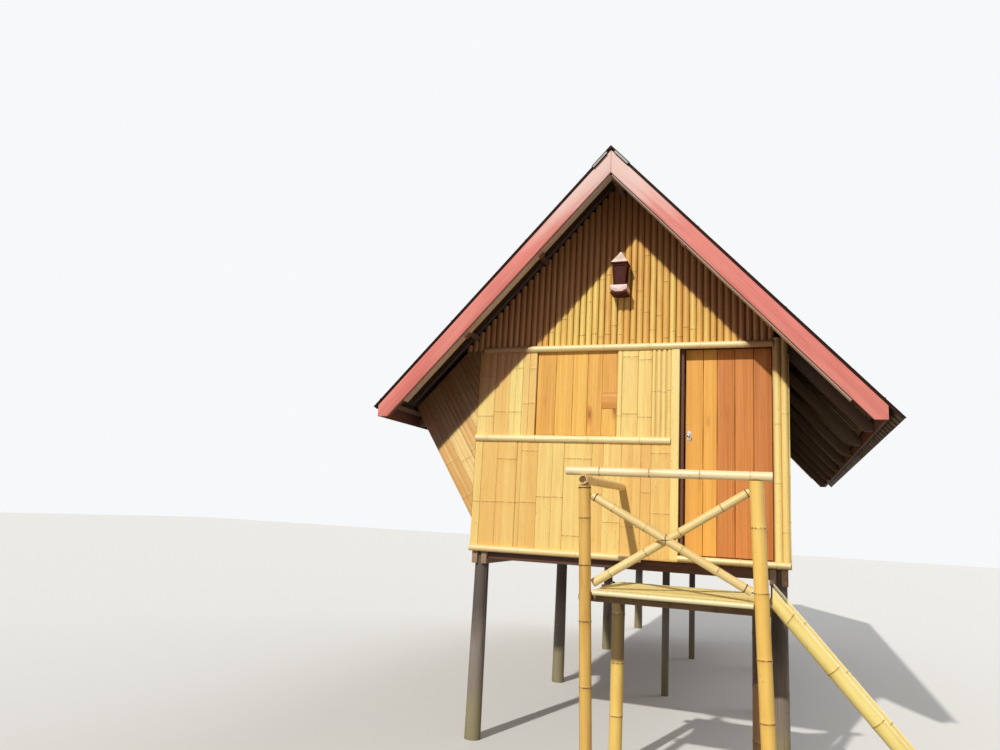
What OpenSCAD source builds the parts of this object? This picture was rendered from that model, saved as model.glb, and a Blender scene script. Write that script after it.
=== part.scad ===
// Stilt house: one room of bamboo walls on timber posts, under a steep gabled metal roof,
// with a bamboo porch and stair at the front. The left side wall flares out to the eave.
// X runs across the front, Y runs from the front to the back, Z is up from the ground.
// The origin is the foot of the front centre post.

/* [Room] */
// Width of the front wall, over its faces
wall_w = 2900; // [2700:20:3200]
// Length of the room, over its end walls
wall_l = 8900; // [8000:50:9800]
// Thickness of the walls
wall_t = 40; // [30:1:50]
// Height of the floor above the ground
floor_h = 1800; // [1500:20:2200]
// Height of the walls above the floor, up to the top rail
wall_h = 1880; // [1800:10:2000]
// How far the walls hang below the top of the floor
wall_drop = 60; // [50:1:62]
// Height above the floor where the left side wall begins to flare
flare_start = 230; // [150:10:400]
// Angle of the flared wall from upright
flare_angle = 32; // [26:0.5:34]

/* [Floor and posts] */
// Thickness of the floor
floor_t = 20; // [15:1:24]
// Depth and width of a floor joist
joist_d = 45; // [40:1:60]
// Number of floor joists
joist_count = 16; // [10:1:20]
// Number of bays between the rows of posts
bay_count = 3; // [2:1:4]
// Depth of the twin side beams
beam_d = 135; // [110:5:170]
// Thickness of one plank of a side beam
beam_t = 55; // [40:1:60]
// Thickness of the post head between the planks
tongue_t = 40; // [30:1:46]
// Diameter of a house post at its foot
post_d = 150; // [130:1:160]
// Diameter of a house post at its head
post_head_d = 132; // [120:1:150]
// Diameter of the centre post
centre_post_d = 90; // [70:1:120]
// From the outer wall face to the centre line of the side posts
post_inset = 95; // [85:1:120]
// From the faces of the end walls to the centre lines of the end rows of posts
row_inset = 100; // [80:5:200]
// Depth of the cross beams
cross_beam_d = 90; // [70:5:110]

/* [Front wall] */
// From the left end of the front wall to the window
window_inset = 600; // [400:10:700]
// Width of the window
window_w = 796; // [500:10:850]
// Height of the window's lower edge above the floor
window_sill = 1040; // [900:10:1300]
// Thickness of the window shutter
shutter_t = 25; // [18:1:30]
// Thickness of the frame behind the window
window_frame_t = 30; // [20:1:40]
// Width of the window frame's bars
window_frame_w = 65; // [50:1:80]
// How far the window frame's bars reach into the opening
window_stop = 25; // [15:1:30]
// From the doorway to the right end of the front wall
door_inset = 128; // [124:1:200]
// Width of the doorway
door_w = 801; // [700:5:805]
// Thickness of the door leaf
leaf_t = 28; // [24:1:35]
// Gap round the door leaf
door_gap = 6; // [5.5:0.5:8]
// Width of the door frame's bars
door_frame_w = 35; // [28:1:45]
// Depth of the door frame behind the wall
door_frame_d = 88; // [70:1:100]
// Diameter of the half culms used as rails on the walls
rail_d = 60; // [50:1:70]
// Height of the middle rail above the floor
middle_rail_h = 1005; // [800:5:1005]
// From the base rail's left piece to the doorway
base_rail_gap = 321; // [100:1:400]
// Width of the board strip left of the door
strip_w = 72; // [50:1:90]
// Thickness of that board strip
strip_t = 18; // [12:1:25]
// Diameter of the two corner culms right of the door
corner_culm_d = 60; // [50:1:62]

/* [Door furniture] */
// Height of the door handle above the floor
handle_h = 1065; // [900:5:1200]
// From the leaf's edge to the middle of the handle
handle_inset = 36; // [30:1:60]
// Width of the handle plate
handle_plate_w = 36; // [30:1:45]
// Height of the handle plate
handle_plate_h = 84; // [70:1:120]
// Diameter of the door knob
knob_d = 34; // [28:1:40]
// From the ends of the leaf to the hinges
hinge_inset = 250; // [150:10:350]
// Height of a hinge
hinge_h = 100; // [80:2:120]
// Width of a hinge plate
hinge_w = 30; // [22:1:34]
// Diameter of a hinge barrel
barrel_d = 14; // [12:0.5:16]
// Diameter of a hinge pin
pin_d = 6; // [5:0.5:7]

/* [Roof] */
// Slope of the roof
pitch = 47.05; // [45:0.05:50]
// How far the ridge lies left of the room's middle
ridge_shift = 40; // [0:1:60]
// Height of the sheets' underside above the top rail, over the right wall
roof_clear = 123; // [110:1:180]
// From the ridge to the eave boards, further than half the room's width
eave_over = 750; // [700:5:850]
// How far the roof reaches past the end walls
roof_over = 600; // [400:10:800]
// Depth of the ribbed roof sheets
sheet_t = 25; // [18:1:35]
// How far the sheets reach past the bargeboards
sheet_over = 12; // [0:1:40]
// How far the left sheet reaches past its eave board, seen from above
left_sheet_over = 30; // [10:1:120]
// How far the right sheet reaches past its eave board
right_sheet_over = 100; // [10:1:120]
// Gap from the ridge line to each sheet
sheet_gap = 8; // [4:1:20]
// Thickness of the ridge cap
cap_t = 4; // [3:0.5:8]
// Width of each wing of the ridge cap
cap_w = 230; // [150:5:300]
// Depth of a purlin
purlin_d = 40; // [30:1:50]
// Width of a purlin
purlin_w = 50; // [40:1:70]
// Number of purlins on each side of the roof
purlin_count = 4; // [3:1:7]
// Depth of a rafter
rafter_d = 100; // [80:5:130]
// Width of a rafter
rafter_w = 50; // [40:1:60]
// Number of rafter pairs between the end walls
rafter_pairs = 8; // [5:1:11]
// From the end walls to the first and last of those pairs
rafter_inset = 200; // [160:10:400]
// Depth of the ridge beam
ridge_beam_d = 120; // [100:5:160]
// Width of the ridge beam
ridge_beam_w = 50; // [40:1:70]
// Width of a bargeboard, square to its slope
board_w = 145; // [120:5:180]
// Thickness of a bargeboard
board_t = 25; // [18:1:35]
// Height of the plumb end of a bargeboard
board_end = 107; // [80:1:130]
// Thickness of an eave board
eave_board_t = 22; // [18:1:30]
// Gap between the two bargeboards at the apex
board_gap = 2; // [1:0.5:4]
// Width of a wall plate under the rafters
plate_w = 50; // [40:1:52]
// Depth of a wall plate
plate_d = 75; // [60:1:90]

/* [Wall lamp] */
// Place of the lamp, right of the house's middle
lamp_x = -30; // [-100:5:100]
// Height of the lamp's lower edge above the ground
lamp_h = 4170; // [4000:10:4300]
// Width of the lamp's tray and of its body at the top
lamp_w = 160; // [140:5:180]
// Height of the lamp's tray
lamp_tray_h = 70; // [50:5:90]
// Height of the lamp's body above the tray
lamp_body_h = 240; // [200:5:280]
// Height of the lamp's roof without its knob
lamp_roof_h = 120; // [60:5:130]
// Depth of the wall plate that carries the lamp
lamp_plate_t = 16; // [12:1:25]

/* [Porch] */
// From the front wall to the centre line of the front porch posts
porch_out = 1050; // [950:10:1200]
// Step down from the floor to the deck
deck_step = 260; // [160:5:320]
// Thickness of the deck
deck_t = 25; // [20:1:35]
// Diameter of the left front post
porch_left_d = 92; // [80:1:110]
// Diameter of the right front post
porch_right_d = 102; // [90:1:115]
// Diameter of the back posts under the deck
porch_back_d = 112; // [90:1:120]
// From the foot of the left front post to the left back post under the deck
back_post_shift = 13; // [5:1:60]
// Height of the left front post above the deck
porch_post_h = 800; // [770:5:840]
// Distance between the feet of the front posts
porch_w = 1295; // [1200:5:1400]
// From the foot of the right front post to the right end of the front wall
porch_inset = 143; // [100:1:180]
// How far the front posts lean to the left over their height
porch_lean = 88; // [0:1:100]
// Diameter of the bearers under the deck
bearer_d = 70; // [60:1:80]
// How far the cross bearers reach past the foot of the left front post
bearer_past_left = 120; // [100:5:200]
// How far the cross bearers reach past the foot of the right front post
bearer_past_right = 5; // [0:1:8]
// Diameter of the side rail
side_rail_d = 70; // [60:1:76]
// How far the side rail reaches past the left front post
side_rail_past = 65; // [40:1:100]
// How far the side rail's wall end lies right of its front end
side_rail_skew = 96; // [0:1:120]
// Diameter of the top rail
top_rail_d = 70; // [60:1:80]
// How far the top rail reaches past the left front post
rail_past_left = 150; // [80:5:200]
// How far the top rail reaches past the right front post
rail_past_right = 115; // [60:5:160]
// Diameter of the braces
brace_d = 66; // [50:1:70]
// Height of the front brace's upper end, at the left post, above the deck
brace_high = 716; // [680:2:760]
// Height of the front brace's lower end above the deck
brace_low = 75; // [65:1:110]
// Height of the back brace's lower end, at the left post, above the deck
back_brace_low = 44; // [42:1:90]
// Height of the back brace's upper end above the deck
back_brace_high = 796; // [700:2:800]

/* [Stair] */
// Height of the stringers' heads above the deck, on their centre lines
stair_head_h = 37; // [30:1:80]
// Diameter of a stringer
stringer_d = 103; // [95:1:125]
// Slope of the stair
stair_angle = 48.7; // [44:0.1:54]
// Distance between the stringers, centre to centre
stair_w = 500; // [450:10:650]
// Diameter of a rung
rung_d = 50; // [40:1:60]
// Number of rungs
rung_count = 5; // [4:1:6]
// How deep a rung sits in a stringer
rung_seat = 70; // [50:1:75]

/* [Hidden] */
$fn = 48;

// Clearance between pieces that are seated, lashed or pinned together
seat = 0.3;
// Half sizes of the room and the faces of its end walls
half_w = wall_w / 2;
bay = (wall_l - 2 * row_inset) / bay_count;
front_face = -bay - row_inset;
back_face = front_face + wall_l;
front_inside = front_face + wall_t;
back_inside = back_face - wall_t;
// Heights above the ground
wall_low = floor_h - wall_drop;
wall_top = floor_h + wall_h;
joist_low = floor_h - floor_t - joist_d;
beam_low = joist_low - beam_d;
flare_low = floor_h + flare_start;
// Roof
eave_reach = half_w + eave_over;
ridge_h = wall_top + roof_clear + (half_w + ridge_shift) * tan(pitch);
board_low = ridge_h - eave_reach * tan(pitch) - board_end;
rafter_end = eave_reach - eave_board_t - seat;
purlin_under = purlin_d + seat;
rafter_under = purlin_under + rafter_d;
wall_under = rafter_under + seat;
roof_front = front_face - roof_over;
roof_back = back_face + roof_over;
frame_front = roof_front + board_t;
frame_rear = roof_back - board_t;
// House posts
post_x = half_w - post_inset;
// Window
window_left = window_inset - half_w;
window_right = window_left + window_w;
window_low = floor_h + window_sill;
// Doorway and leaf
door_right = half_w - door_inset;
door_left = door_right - door_w;
frame_back = front_inside + door_frame_d;
door_head = wall_top - 10;
leaf_left = door_left + door_frame_w + door_gap;
leaf_right = door_right - door_gap;
leaf_low = floor_h + door_gap;
leaf_top = door_head - door_gap;
hinge_x = door_right - door_gap / 2;
hinge_y = frame_back + 1 + barrel_d / 2;
hinge_plate_t = 2;
hinge_places = [leaf_low + hinge_inset, leaf_top - hinge_inset - hinge_h];
spindle_d = 10;
handle_x = leaf_left + handle_inset;
// Porch
deck_h = floor_h - deck_step;
porch_left_h = deck_h + porch_post_h;
porch_right_x = half_w - porch_inset;
porch_left_x = porch_right_x - porch_w;
porch_y = front_face - porch_out;
lean_rate = porch_lean / porch_left_h;
side_rail_z = porch_left_h + side_rail_d / 2 + seat;
top_rail_z = side_rail_z + side_rail_d / 2 + top_rail_d / 2 + seat;
porch_right_h = top_rail_z - top_rail_d / 2 - seat;
porch_back_x = porch_left_x + back_post_shift;
porch_back_y = front_face - porch_back_d / 2 - 20;
bearer_z = deck_h - deck_t - bearer_d / 2 - seat;
porch_tie_y = porch_y + porch_right_d / 2 + bearer_d / 2 + seat;
back_tie_y = porch_back_y - porch_back_d / 2 - bearer_d / 2 - seat;
left_post_y = porch_y + porch_right_d / 2 - porch_left_d / 2;
deck_left = porch_left_x + 5;
deck_front = porch_y - 30;
deck_back = front_face - 40;
// Stair
stringer_y = porch_y + porch_right_d / 2 + stringer_d / 2 + seat;
stringer_back_y = stringer_y + stair_w;
stair_top_x = porch_right_x + 12;
stair_top_z = deck_h + stair_head_h;
stair_foot_x = stair_top_x + stair_top_z / tan(stair_angle);
right_bearer_x = stair_foot_x - bearer_z / tan(stair_angle)
                 - (stringer_d / 2 + bearer_d / 2 + seat) / sin(stair_angle);
deck_right = right_bearer_x;
rung_rise = deck_h / (rung_count + 1);

// Place of a row of posts along the house, counted from the front
function row_y(i) = front_face + row_inset + i * bay;
// Height of the line that lies a given depth under the roof sheets, at a distance from the ridge
function slope_z(from_ridge, depth) = ridge_h - depth / cos(pitch) - from_ridge * tan(pitch);
// Distance from the ridge where that line has a given height
function slope_x(z, depth) = (ridge_h - depth / cos(pitch) - z) / tan(pitch);
// Height of that line at a place across the house
function roof_z(x, depth) = slope_z(abs(x + ridge_shift), depth);
// Place of the flared wall at a height, measured a distance inwards of its outer face
function flare_x(z, inward) = half_w - inward + (z - flare_low) * tan(flare_angle);
// Height where the flared wall meets the line a given depth under the roof sheets
function flare_z(depth, inward) =
    (ridge_h - depth / cos(pitch)
     - (half_w - ridge_shift - inward - flare_low * tan(flare_angle)) * tan(pitch))
    / (1 + tan(flare_angle) * tan(pitch));
// Place of a leaning porch post's centre line at a height
function lean_x(foot_x, z) = foot_x - z * lean_rate;

// A box between two corners
module block(low, high) {
    translate(low) cube(high - low);
}

// A round culm between two points
module culm(start, end, d) {
    run = end - start;
    length = norm(run);
    translate(start)
        rotate([0, acos(run.z / length), atan2(run.y, run.x)])
            cylinder(h = length, d = d);
}

// An outline in the X-Z plane, drawn out from y0 to y1
module across(points, y0, y1) {
    translate([0, y1, 0])
        rotate([90, 0, 0])
            linear_extrude(y1 - y0)
                polygon(points);
}

// Puts what is drawn from the ridge to the right on the right side, or mirrors it to the left
module from_ridge(side) {
    translate([-ridge_shift, 0, 0])
        mirror([side < 0 ? 1 : 0, 0, 0])
            children();
}

// The same for what is drawn flat, from the ridge down along the slope
module on_slope(side) {
    from_ridge(side)
        translate([0, 0, ridge_h])
            rotate([0, pitch, 0])
                children();
}

// A half culm lying on a wall face, which outward points away from
module face_rail(x0, x1, z, face, outward) {
    difference() {
        translate([x0, face + outward * rail_d / 4, z])
            rotate([0, 90, 0])
                cylinder(h = x1 - x0, d = rail_d);
        translate([x0 - 1, outward > 0 ? face - rail_d : face, z - rail_d])
            cube([x1 - x0 + 2, rail_d, 2 * rail_d]);
    }
}

module house_post(x, y) {
    side_cut = post_d;
    difference() {
        translate([x, y, 0]) cylinder(h = joist_low, d1 = post_d, d2 = post_head_d);
        for (side = [-1, 1])
            translate([x + side * (tongue_t / 2 + side_cut / 2), y, beam_low + beam_d])
                cube([side_cut, 2 * post_d, 2 * beam_d], center = true);
    }
}

module front_posts() {
    color("dimgray")
        for (x = [-post_x, post_x]) house_post(x, row_y(0));
}

module middle_posts() {
    color("dimgray")
        for (i = [1 : bay_count - 1]) {
            for (x = [-post_x, post_x]) house_post(x, row_y(i));
            translate([0, row_y(i), 0]) cylinder(h = joist_low - cross_beam_d, d = centre_post_d);
        }
}

module back_posts() {
    color("dimgray")
        for (x = [-post_x, post_x]) house_post(x, row_y(bay_count));
}

// Twin planks on each side, seated on the shoulders of the posts
module side_beams() {
    short = 10;
    color("peru")
        for (x = [-post_x, post_x], side = [-1, 1])
            translate([x + side * (tongue_t + beam_t) / 2, 0, 0])
                block([-beam_t / 2, front_face + short, beam_low],
                      [beam_t / 2, back_face - short, joist_low]);
}

// Beams across the house between the inner planks, one at each row of posts
module cross_beams() {
    reach = post_x - tongue_t / 2 - beam_t;
    middle = [for (i = [1 : bay_count - 1]) row_y(i) - joist_d / 2];
    color("saddlebrown")
        for (y = concat([front_inside], middle, [back_inside - joist_d]))
            block([-reach, y, joist_low - cross_beam_d], [reach, y + joist_d, joist_low]);
}

module floor_joists() {
    spacing = (back_inside - joist_d - front_inside) / (joist_count - 1);
    side = half_w - wall_t;
    color("burlywood")
        for (i = [0 : joist_count - 1])
            translate([0, front_inside + i * spacing, joist_low])
                block([-side, 0, 0], [side, joist_d, joist_d]);
}

module floor() {
    side = half_w - wall_t;
    color("khaki")
        block([-side, front_inside, floor_h - floor_t], [side, back_inside, floor_h]);
}

// The front wall left of the doorway, with the window cut through up to the top rail
module front_wall() {
    color("wheat")
        difference() {
            block([-half_w, front_face, wall_low], [door_left, front_inside, wall_top]);
            block([window_left, front_face - 1, window_low],
                  [window_right, front_inside + 1, wall_top + 1]);
        }
}

module door_side_wall() {
    color("wheat")
        block([door_right, front_face, wall_low], [half_w, front_inside, wall_top]);
}

module door_sill() {
    color("wheat")
        block([door_left, front_face, wall_low], [door_right, front_inside, floor_h]);
}

// Cuts the seat of the ridge beam out of an end wall
module ridge_notch() {
    low = slope_z(ridge_beam_w / 2, purlin_d) - ridge_beam_d;
    translate([-ridge_shift, 0, 0])
        block([-ridge_beam_w / 2, front_face - 1, low], [ridge_beam_w / 2, back_face + 1, ridge_h]);
}

module front_gable() {
    color("goldenrod")
        difference() {
            across([[-ridge_shift - slope_x(wall_top, purlin_under), wall_top], [half_w, wall_top],
                    [half_w, roof_z(half_w, purlin_under)], [-ridge_shift, slope_z(0, purlin_under)]],
                   front_face, front_inside);
            ridge_notch();
        }
}

// Closes the front end of the flared side, in line with the front wall
module front_wing() {
    top = flare_z(purlin_under, 0);
    color("burlywood")
        across([[-half_w, flare_low], [-half_w, wall_top],
                [-ridge_shift - slope_x(wall_top, purlin_under), wall_top], [-flare_x(top, 0), top]],
               front_face, front_inside);
}

module back_wall() {
    top = flare_z(purlin_under, 0);
    color("wheat")
        difference() {
            across([[-half_w, wall_low], [half_w, wall_low], [half_w, roof_z(half_w, purlin_under)],
                    [-ridge_shift, slope_z(0, purlin_under)], [-flare_x(top, 0), top],
                    [-half_w, flare_low]],
                   back_inside, back_face);
            ridge_notch();
        }
}

module right_wall() {
    inside = half_w - wall_t;
    color("wheat")
        across([[inside, wall_low], [half_w, wall_low], [half_w, roof_z(half_w, wall_under)],
                [inside, roof_z(inside, wall_under)]],
               front_inside, back_inside);
}

module left_wall_base() {
    color("wheat")
        block([-half_w, front_inside, wall_low], [wall_t - half_w, back_inside, flare_low]);
}

module left_flared_wall() {
    inward = wall_t / cos(flare_angle);
    outer_top = flare_z(wall_under, 0);
    inner_top = flare_z(wall_under, inward);
    color("burlywood")
        across([[-flare_x(flare_low, 0), flare_low], [-flare_x(flare_low, inward), flare_low],
                [-flare_x(inner_top, inward), inner_top], [-flare_x(outer_top, 0), outer_top]],
               front_inside, back_inside);
}

// Plates along the tops of the side walls, inside, that carry the rafters
module wall_plates() {
    inside = half_w - wall_t;
    right_low = roof_z(inside, wall_under) - plate_d;
    inward = (wall_t + seat) / cos(flare_angle);
    left_top = flare_z(wall_under, inward);
    corner = [-flare_x(left_top, inward), left_top];
    along = [plate_w * cos(pitch), plate_w * sin(pitch)];
    down = [plate_d * sin(flare_angle), -plate_d * cos(flare_angle)];
    color("peru") {
        across([[inside, right_low], [inside, right_low + plate_d],
                [inside - plate_w, roof_z(inside - plate_w, wall_under)], [inside - plate_w, right_low]],
               front_inside, back_inside);
        across([corner, corner + along, corner + along + down, corner + down], front_inside, back_inside);
    }
}

module front_rails() {
    base_z = wall_low + rail_d / 12;
    color("lemonchiffon") {
        face_rail(50 - half_w, door_right + 6, wall_top + 5, front_face, -1);
        face_rail(-half_w, door_left - strip_w - seat, floor_h + middle_rail_h, front_face, -1);
        face_rail(-half_w, door_left - base_rail_gap, base_z, front_face, -1);
        face_rail(door_left, half_w, base_z, front_face, -1);
    }
}

module back_rails() {
    color("lemonchiffon") {
        face_rail(50 - half_w, half_w, wall_top + 5, back_face, 1);
        face_rail(-half_w, half_w, floor_h + middle_rail_h, back_face, 1);
        face_rail(-half_w, half_w, wall_low + rail_d / 12, back_face, 1);
    }
}

// The board strip left of the door and the two half culms right of it
module front_strips() {
    strip_low = wall_low;
    culm_low = wall_low + rail_d / 12 + rail_d / 2 + seat;
    culm_high = roof_z(half_w, purlin_under) - 10;
    color("palegoldenrod") {
        block([door_left - strip_w, front_face - strip_t, strip_low],
              [door_left, front_face, wall_top + 5 - rail_d / 2 - seat]);
        for (i = [0, 1])
            translate([half_w - corner_culm_d / 2 - i * (corner_culm_d + 1), front_face, 0])
                difference() {
                    translate([0, 0, culm_low]) cylinder(h = culm_high - culm_low, d = corner_culm_d);
                    translate([-corner_culm_d, 0, 0]) cube([2 * corner_culm_d, corner_culm_d, ridge_h]);
                }
    }
}

// Bars behind the wall, round the window, that the shutter closes against
module window_frame() {
    outer = window_frame_w - window_stop;
    color("peru")
        difference() {
            block([window_left - outer, front_inside, window_low - outer],
                  [window_right + outer, front_inside + window_frame_t, wall_top + outer]);
            block([window_left + window_stop, front_inside - 1, window_low + window_stop],
                  [window_right - window_stop, front_inside + window_frame_t + 1, wall_top - window_stop]);
        }
}

module window_shutter() {
    gap = 4;
    color("sandybrown")
        block([window_left + gap, front_inside - shutter_t, window_low + gap],
              [window_right - gap, front_inside, wall_top - gap]);
}

// Jambs and head behind the wall; the left jamb shows in the doorway
module door_frame() {
    color("saddlebrown")
        difference() {
            block([door_left, front_inside, floor_h],
                  [door_right + door_frame_w, frame_back, door_head + door_frame_w]);
            block([door_left + door_frame_w, front_inside - 1, floor_h - 1],
                  [door_right, frame_back + 1, door_head]);
        }
}

module door_leaf() {
    color("chocolate")
        difference() {
            block([leaf_left, frame_back - leaf_t, leaf_low], [leaf_right, frame_back, leaf_top]);
            translate([handle_x, frame_back + 1, floor_h + handle_h])
                rotate([90, 0, 0])
                    cylinder(h = leaf_t + 2, d = spindle_d);
        }
}

// A plate and a knob on each face of the leaf, on one spindle
module door_handle() {
    plate_t = 3;
    neck = 26;
    color("silver")
        translate([handle_x, frame_back - leaf_t / 2, floor_h + handle_h])
            for (side = [-1, 1]) {
                translate([0, side * (leaf_t + plate_t) / 2, 0])
                    cube([handle_plate_w, plate_t, handle_plate_h], center = true);
                rotate([side * 90, 0, 0]) cylinder(h = leaf_t / 2 + neck, d = spindle_d - 2 * seat);
                translate([0, -side * (leaf_t / 2 + neck + knob_d / 3), 0]) sphere(d = knob_d);
            }
}

// The middle knuckle of a hinge, or the two outer ones
module knuckles(outer) {
    part = hinge_h / 3;
    run = 1;
    if (outer) {
        for (low = [0, 2 * part + run / 2])
            translate([0, 0, low])
                cylinder(h = part - run / 2, d = barrel_d);
    } else {
        translate([0, 0, part + run / 2]) cylinder(h = part - run, d = barrel_d);
    }
}

// Frame plates with the outer knuckles and the pin
module hinge_frame_halves() {
    color("gray")
        for (z = hinge_places) {
            translate([hinge_x, hinge_y, z]) {
                knuckles(true);
                cylinder(h = hinge_h, d = pin_d);
            }
            difference() {
                block([hinge_x, frame_back, z],
                      [hinge_x + hinge_w, frame_back + hinge_plate_t, z + hinge_h]);
                hinge_relief(z, false);
            }
        }
}

// Door plates with the middle knuckle, bored for the pin
module hinge_door_halves() {
    color("gray")
        for (z = hinge_places)
            difference() {
                union() {
                    translate([hinge_x, hinge_y, z]) knuckles(false);
                    difference() {
                        block([hinge_x - hinge_w, frame_back, z],
                              [hinge_x, frame_back + hinge_plate_t, z + hinge_h]);
                        hinge_relief(z, true);
                    }
                }
                translate([hinge_x, hinge_y, z - 1]) cylinder(h = hinge_h + 2, d = pin_d + 0.12);
            }
}

// Room in a hinge plate for the other plate's knuckles
module hinge_relief(z, outer) {
    part = hinge_h / 3;
    room = barrel_d / 2 + 1.5;
    for (low = outer ? [-1, 2 * part - 1] : [part - 1])
        block([hinge_x - room, frame_back - 1, z + low],
              [hinge_x + room, frame_back + barrel_d, z + low + part + 2]);
}

module ridge_beam() {
    top = slope_z(ridge_beam_w / 2, purlin_d);
    color("peru")
        translate([-ridge_shift, 0, 0])
            block([-ridge_beam_w / 2, frame_front, top - ridge_beam_d],
                  [ridge_beam_w / 2, frame_rear, top]);
}

// Pairs of rafters that butt against the ridge beam, their tails cut level
module rafters() {
    x0 = ridge_beam_w / 2;
    low = board_low + 10;
    first = front_inside + rafter_inset;
    last = back_inside - rafter_inset - rafter_w;
    places = concat([frame_front, frame_rear - rafter_w],
                    [for (i = [0 : rafter_pairs - 1]) first + (last - first) * i / (rafter_pairs - 1)]);
    color("tan")
        for (y = places, side = [-1, 1])
            from_ridge(side)
                across([[x0, slope_z(x0, purlin_under)], [rafter_end, slope_z(rafter_end, purlin_under)],
                        [rafter_end, low], [slope_x(low, rafter_under), low],
                        [x0, slope_z(x0, rafter_under)]],
                       y, y + rafter_w);
}

// Purlins along the house, on the rafters and under the sheets
module purlins() {
    first = 80;
    last = rafter_end / cos(pitch) - purlin_w;
    color("tan")
        for (side = [-1, 1], i = [0 : purlin_count - 1])
            on_slope(side)
                translate([first + (last - first) * i / (purlin_count - 1), frame_front, -purlin_d])
                    cube([purlin_w, frame_rear - frame_front, purlin_d]);
}

module roof_sheet(side, past_board) {
    color("darkslategray")
        on_slope(side)
            block([sheet_gap, roof_front - sheet_over, 0],
                  [(eave_reach + past_board) / cos(pitch), roof_back + sheet_over, sheet_t]);
}

module left_roof_sheet() {
    roof_sheet(-1, left_sheet_over);
}

module right_roof_sheet() {
    roof_sheet(1, right_sheet_over);
}

// A bent sheet over the ridge
module ridge_cap() {
    x1 = cap_w * cos(pitch);
    under = -sheet_t - seat;
    inner = [[-x1, slope_z(x1, under)], [0, slope_z(0, under)], [x1, slope_z(x1, under)]];
    rise = [cap_t * sin(pitch), cap_t * cos(pitch)];
    outer = [[x1, inner[2].y] + rise, [0, slope_z(0, under - cap_t)], [-x1 - rise.x, inner[0].y + rise.y]];
    color("darkslateblue")
        translate([-ridge_shift, 0, 0])
            across(concat(inner, outer), roof_front - 2 * sheet_over, roof_back + 2 * sheet_over);
}

// A pair of boards over the ends of the purlins at each end of the roof
module bargeboards() {
    x0 = board_gap / 2;
    color("lightcoral")
        for (side = [-1, 1], y = [roof_front, frame_rear])
            from_ridge(side)
                across([[x0, slope_z(x0, seat)], [eave_reach, slope_z(eave_reach, seat)],
                        [eave_reach, board_low], [slope_x(board_low, board_w), board_low],
                        [x0, slope_z(x0, board_w)]],
                       y, y + board_t);
}

// Boards over the ends of the rafters, along the eaves
module eave_boards() {
    x0 = eave_reach - eave_board_t;
    color("lightcoral")
        for (side = [-1, 1])
            from_ridge(side)
                across([[x0, slope_z(x0, seat)], [eave_reach, slope_z(eave_reach, seat)],
                        [eave_reach, board_low], [x0, board_low]],
                       frame_front, frame_rear);
}

// The plate on the gable behind the lantern
module lamp_bracket() {
    half = lamp_w * 0.3;
    color("saddlebrown")
        block([lamp_x - half, front_face - lamp_plate_t, lamp_h],
              [lamp_x + half, front_face, lamp_h + lamp_tray_h + lamp_body_h]);
}

// Tray, glass body and four-sided roof of the lantern
module lamp_lantern() {
    y = front_face - lamp_plate_t - lamp_w / 2;
    body_low_w = lamp_w * 0.72;
    body_high_w = lamp_w - 20;
    corner = sqrt(2);
    tray_top = lamp_h + lamp_tray_h;
    body_top = tray_top + lamp_body_h;
    color("rosybrown")
        translate([lamp_x, y, 0]) {
            translate([0, 0, lamp_h + lamp_tray_h / 2]) cube([lamp_w, lamp_w, lamp_tray_h], center = true);
            translate([0, 0, tray_top])
                rotate([0, 0, 45])
                    cylinder(h = lamp_body_h, d1 = body_low_w * corner, d2 = body_high_w * corner, $fn = 4);
            translate([0, 0, body_top])
                rotate([0, 0, 45])
                    cylinder(h = lamp_roof_h, d1 = lamp_w * corner, d2 = 20 * corner, $fn = 4);
            translate([0, 0, body_top + lamp_roof_h]) sphere(d = 24);
        }
}

// A leaning post, cut level at its foot and head
module porch_post(foot_x, y, height, d) {
    past = 50;
    top = height + past;
    intersection() {
        culm([lean_x(foot_x, -past), y, -past], [lean_x(foot_x, top), y, top], d);
        translate([foot_x, y, height / 2]) cube([6 * d, 2 * d, height], center = true);
    }
}

module porch_posts() {
    back_h = deck_h - deck_t - seat;
    back_right_x = right_bearer_x - bearer_d / 2 - porch_back_d / 2 - seat;
    color("goldenrod") {
        porch_post(porch_left_x, left_post_y, porch_left_h, porch_left_d);
        porch_post(porch_right_x, porch_y, porch_right_h, porch_right_d);
        for (x = [porch_back_x, back_right_x])
            translate([x, porch_back_y, 0]) cylinder(h = back_h, d = porch_back_d);
    }
}

// Culms across the porch, lashed to the posts
module porch_cross_bearers() {
    left = porch_left_x - bearer_past_left;
    right = porch_right_x + bearer_past_right;
    color("goldenrod")
        for (y = [porch_tie_y, back_tie_y])
            culm([left, y, bearer_z], [right, y, bearer_z], bearer_d);
}

// Culms from front to back between the cross bearers; the stair leans on the right one
module porch_deck_bearers() {
    left_x = lean_x(porch_left_x, bearer_z) + porch_left_d / 2 + bearer_d / 2 + 5;
    half = bearer_d / 2 + seat;
    color("goldenrod")
        for (x = [left_x, (left_x + right_bearer_x) / 2, right_bearer_x])
            culm([x, porch_tie_y + half, bearer_z], [x, back_tie_y - half, bearer_z], bearer_d);
}

// Split bamboo deck, notched round the right front post
module porch_deck() {
    post_at_deck = lean_x(porch_right_x, deck_h);
    color("khaki")
        difference() {
            block([deck_left, deck_front, deck_h - deck_t], [deck_right, deck_back, deck_h]);
            translate([post_at_deck - porch_right_d / 2 - 5, deck_front - 1, deck_h - 2 * deck_t])
                cube([wall_w, porch_y + porch_right_d / 2 + 5 - deck_front, 4 * deck_t]);
        }
}

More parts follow.
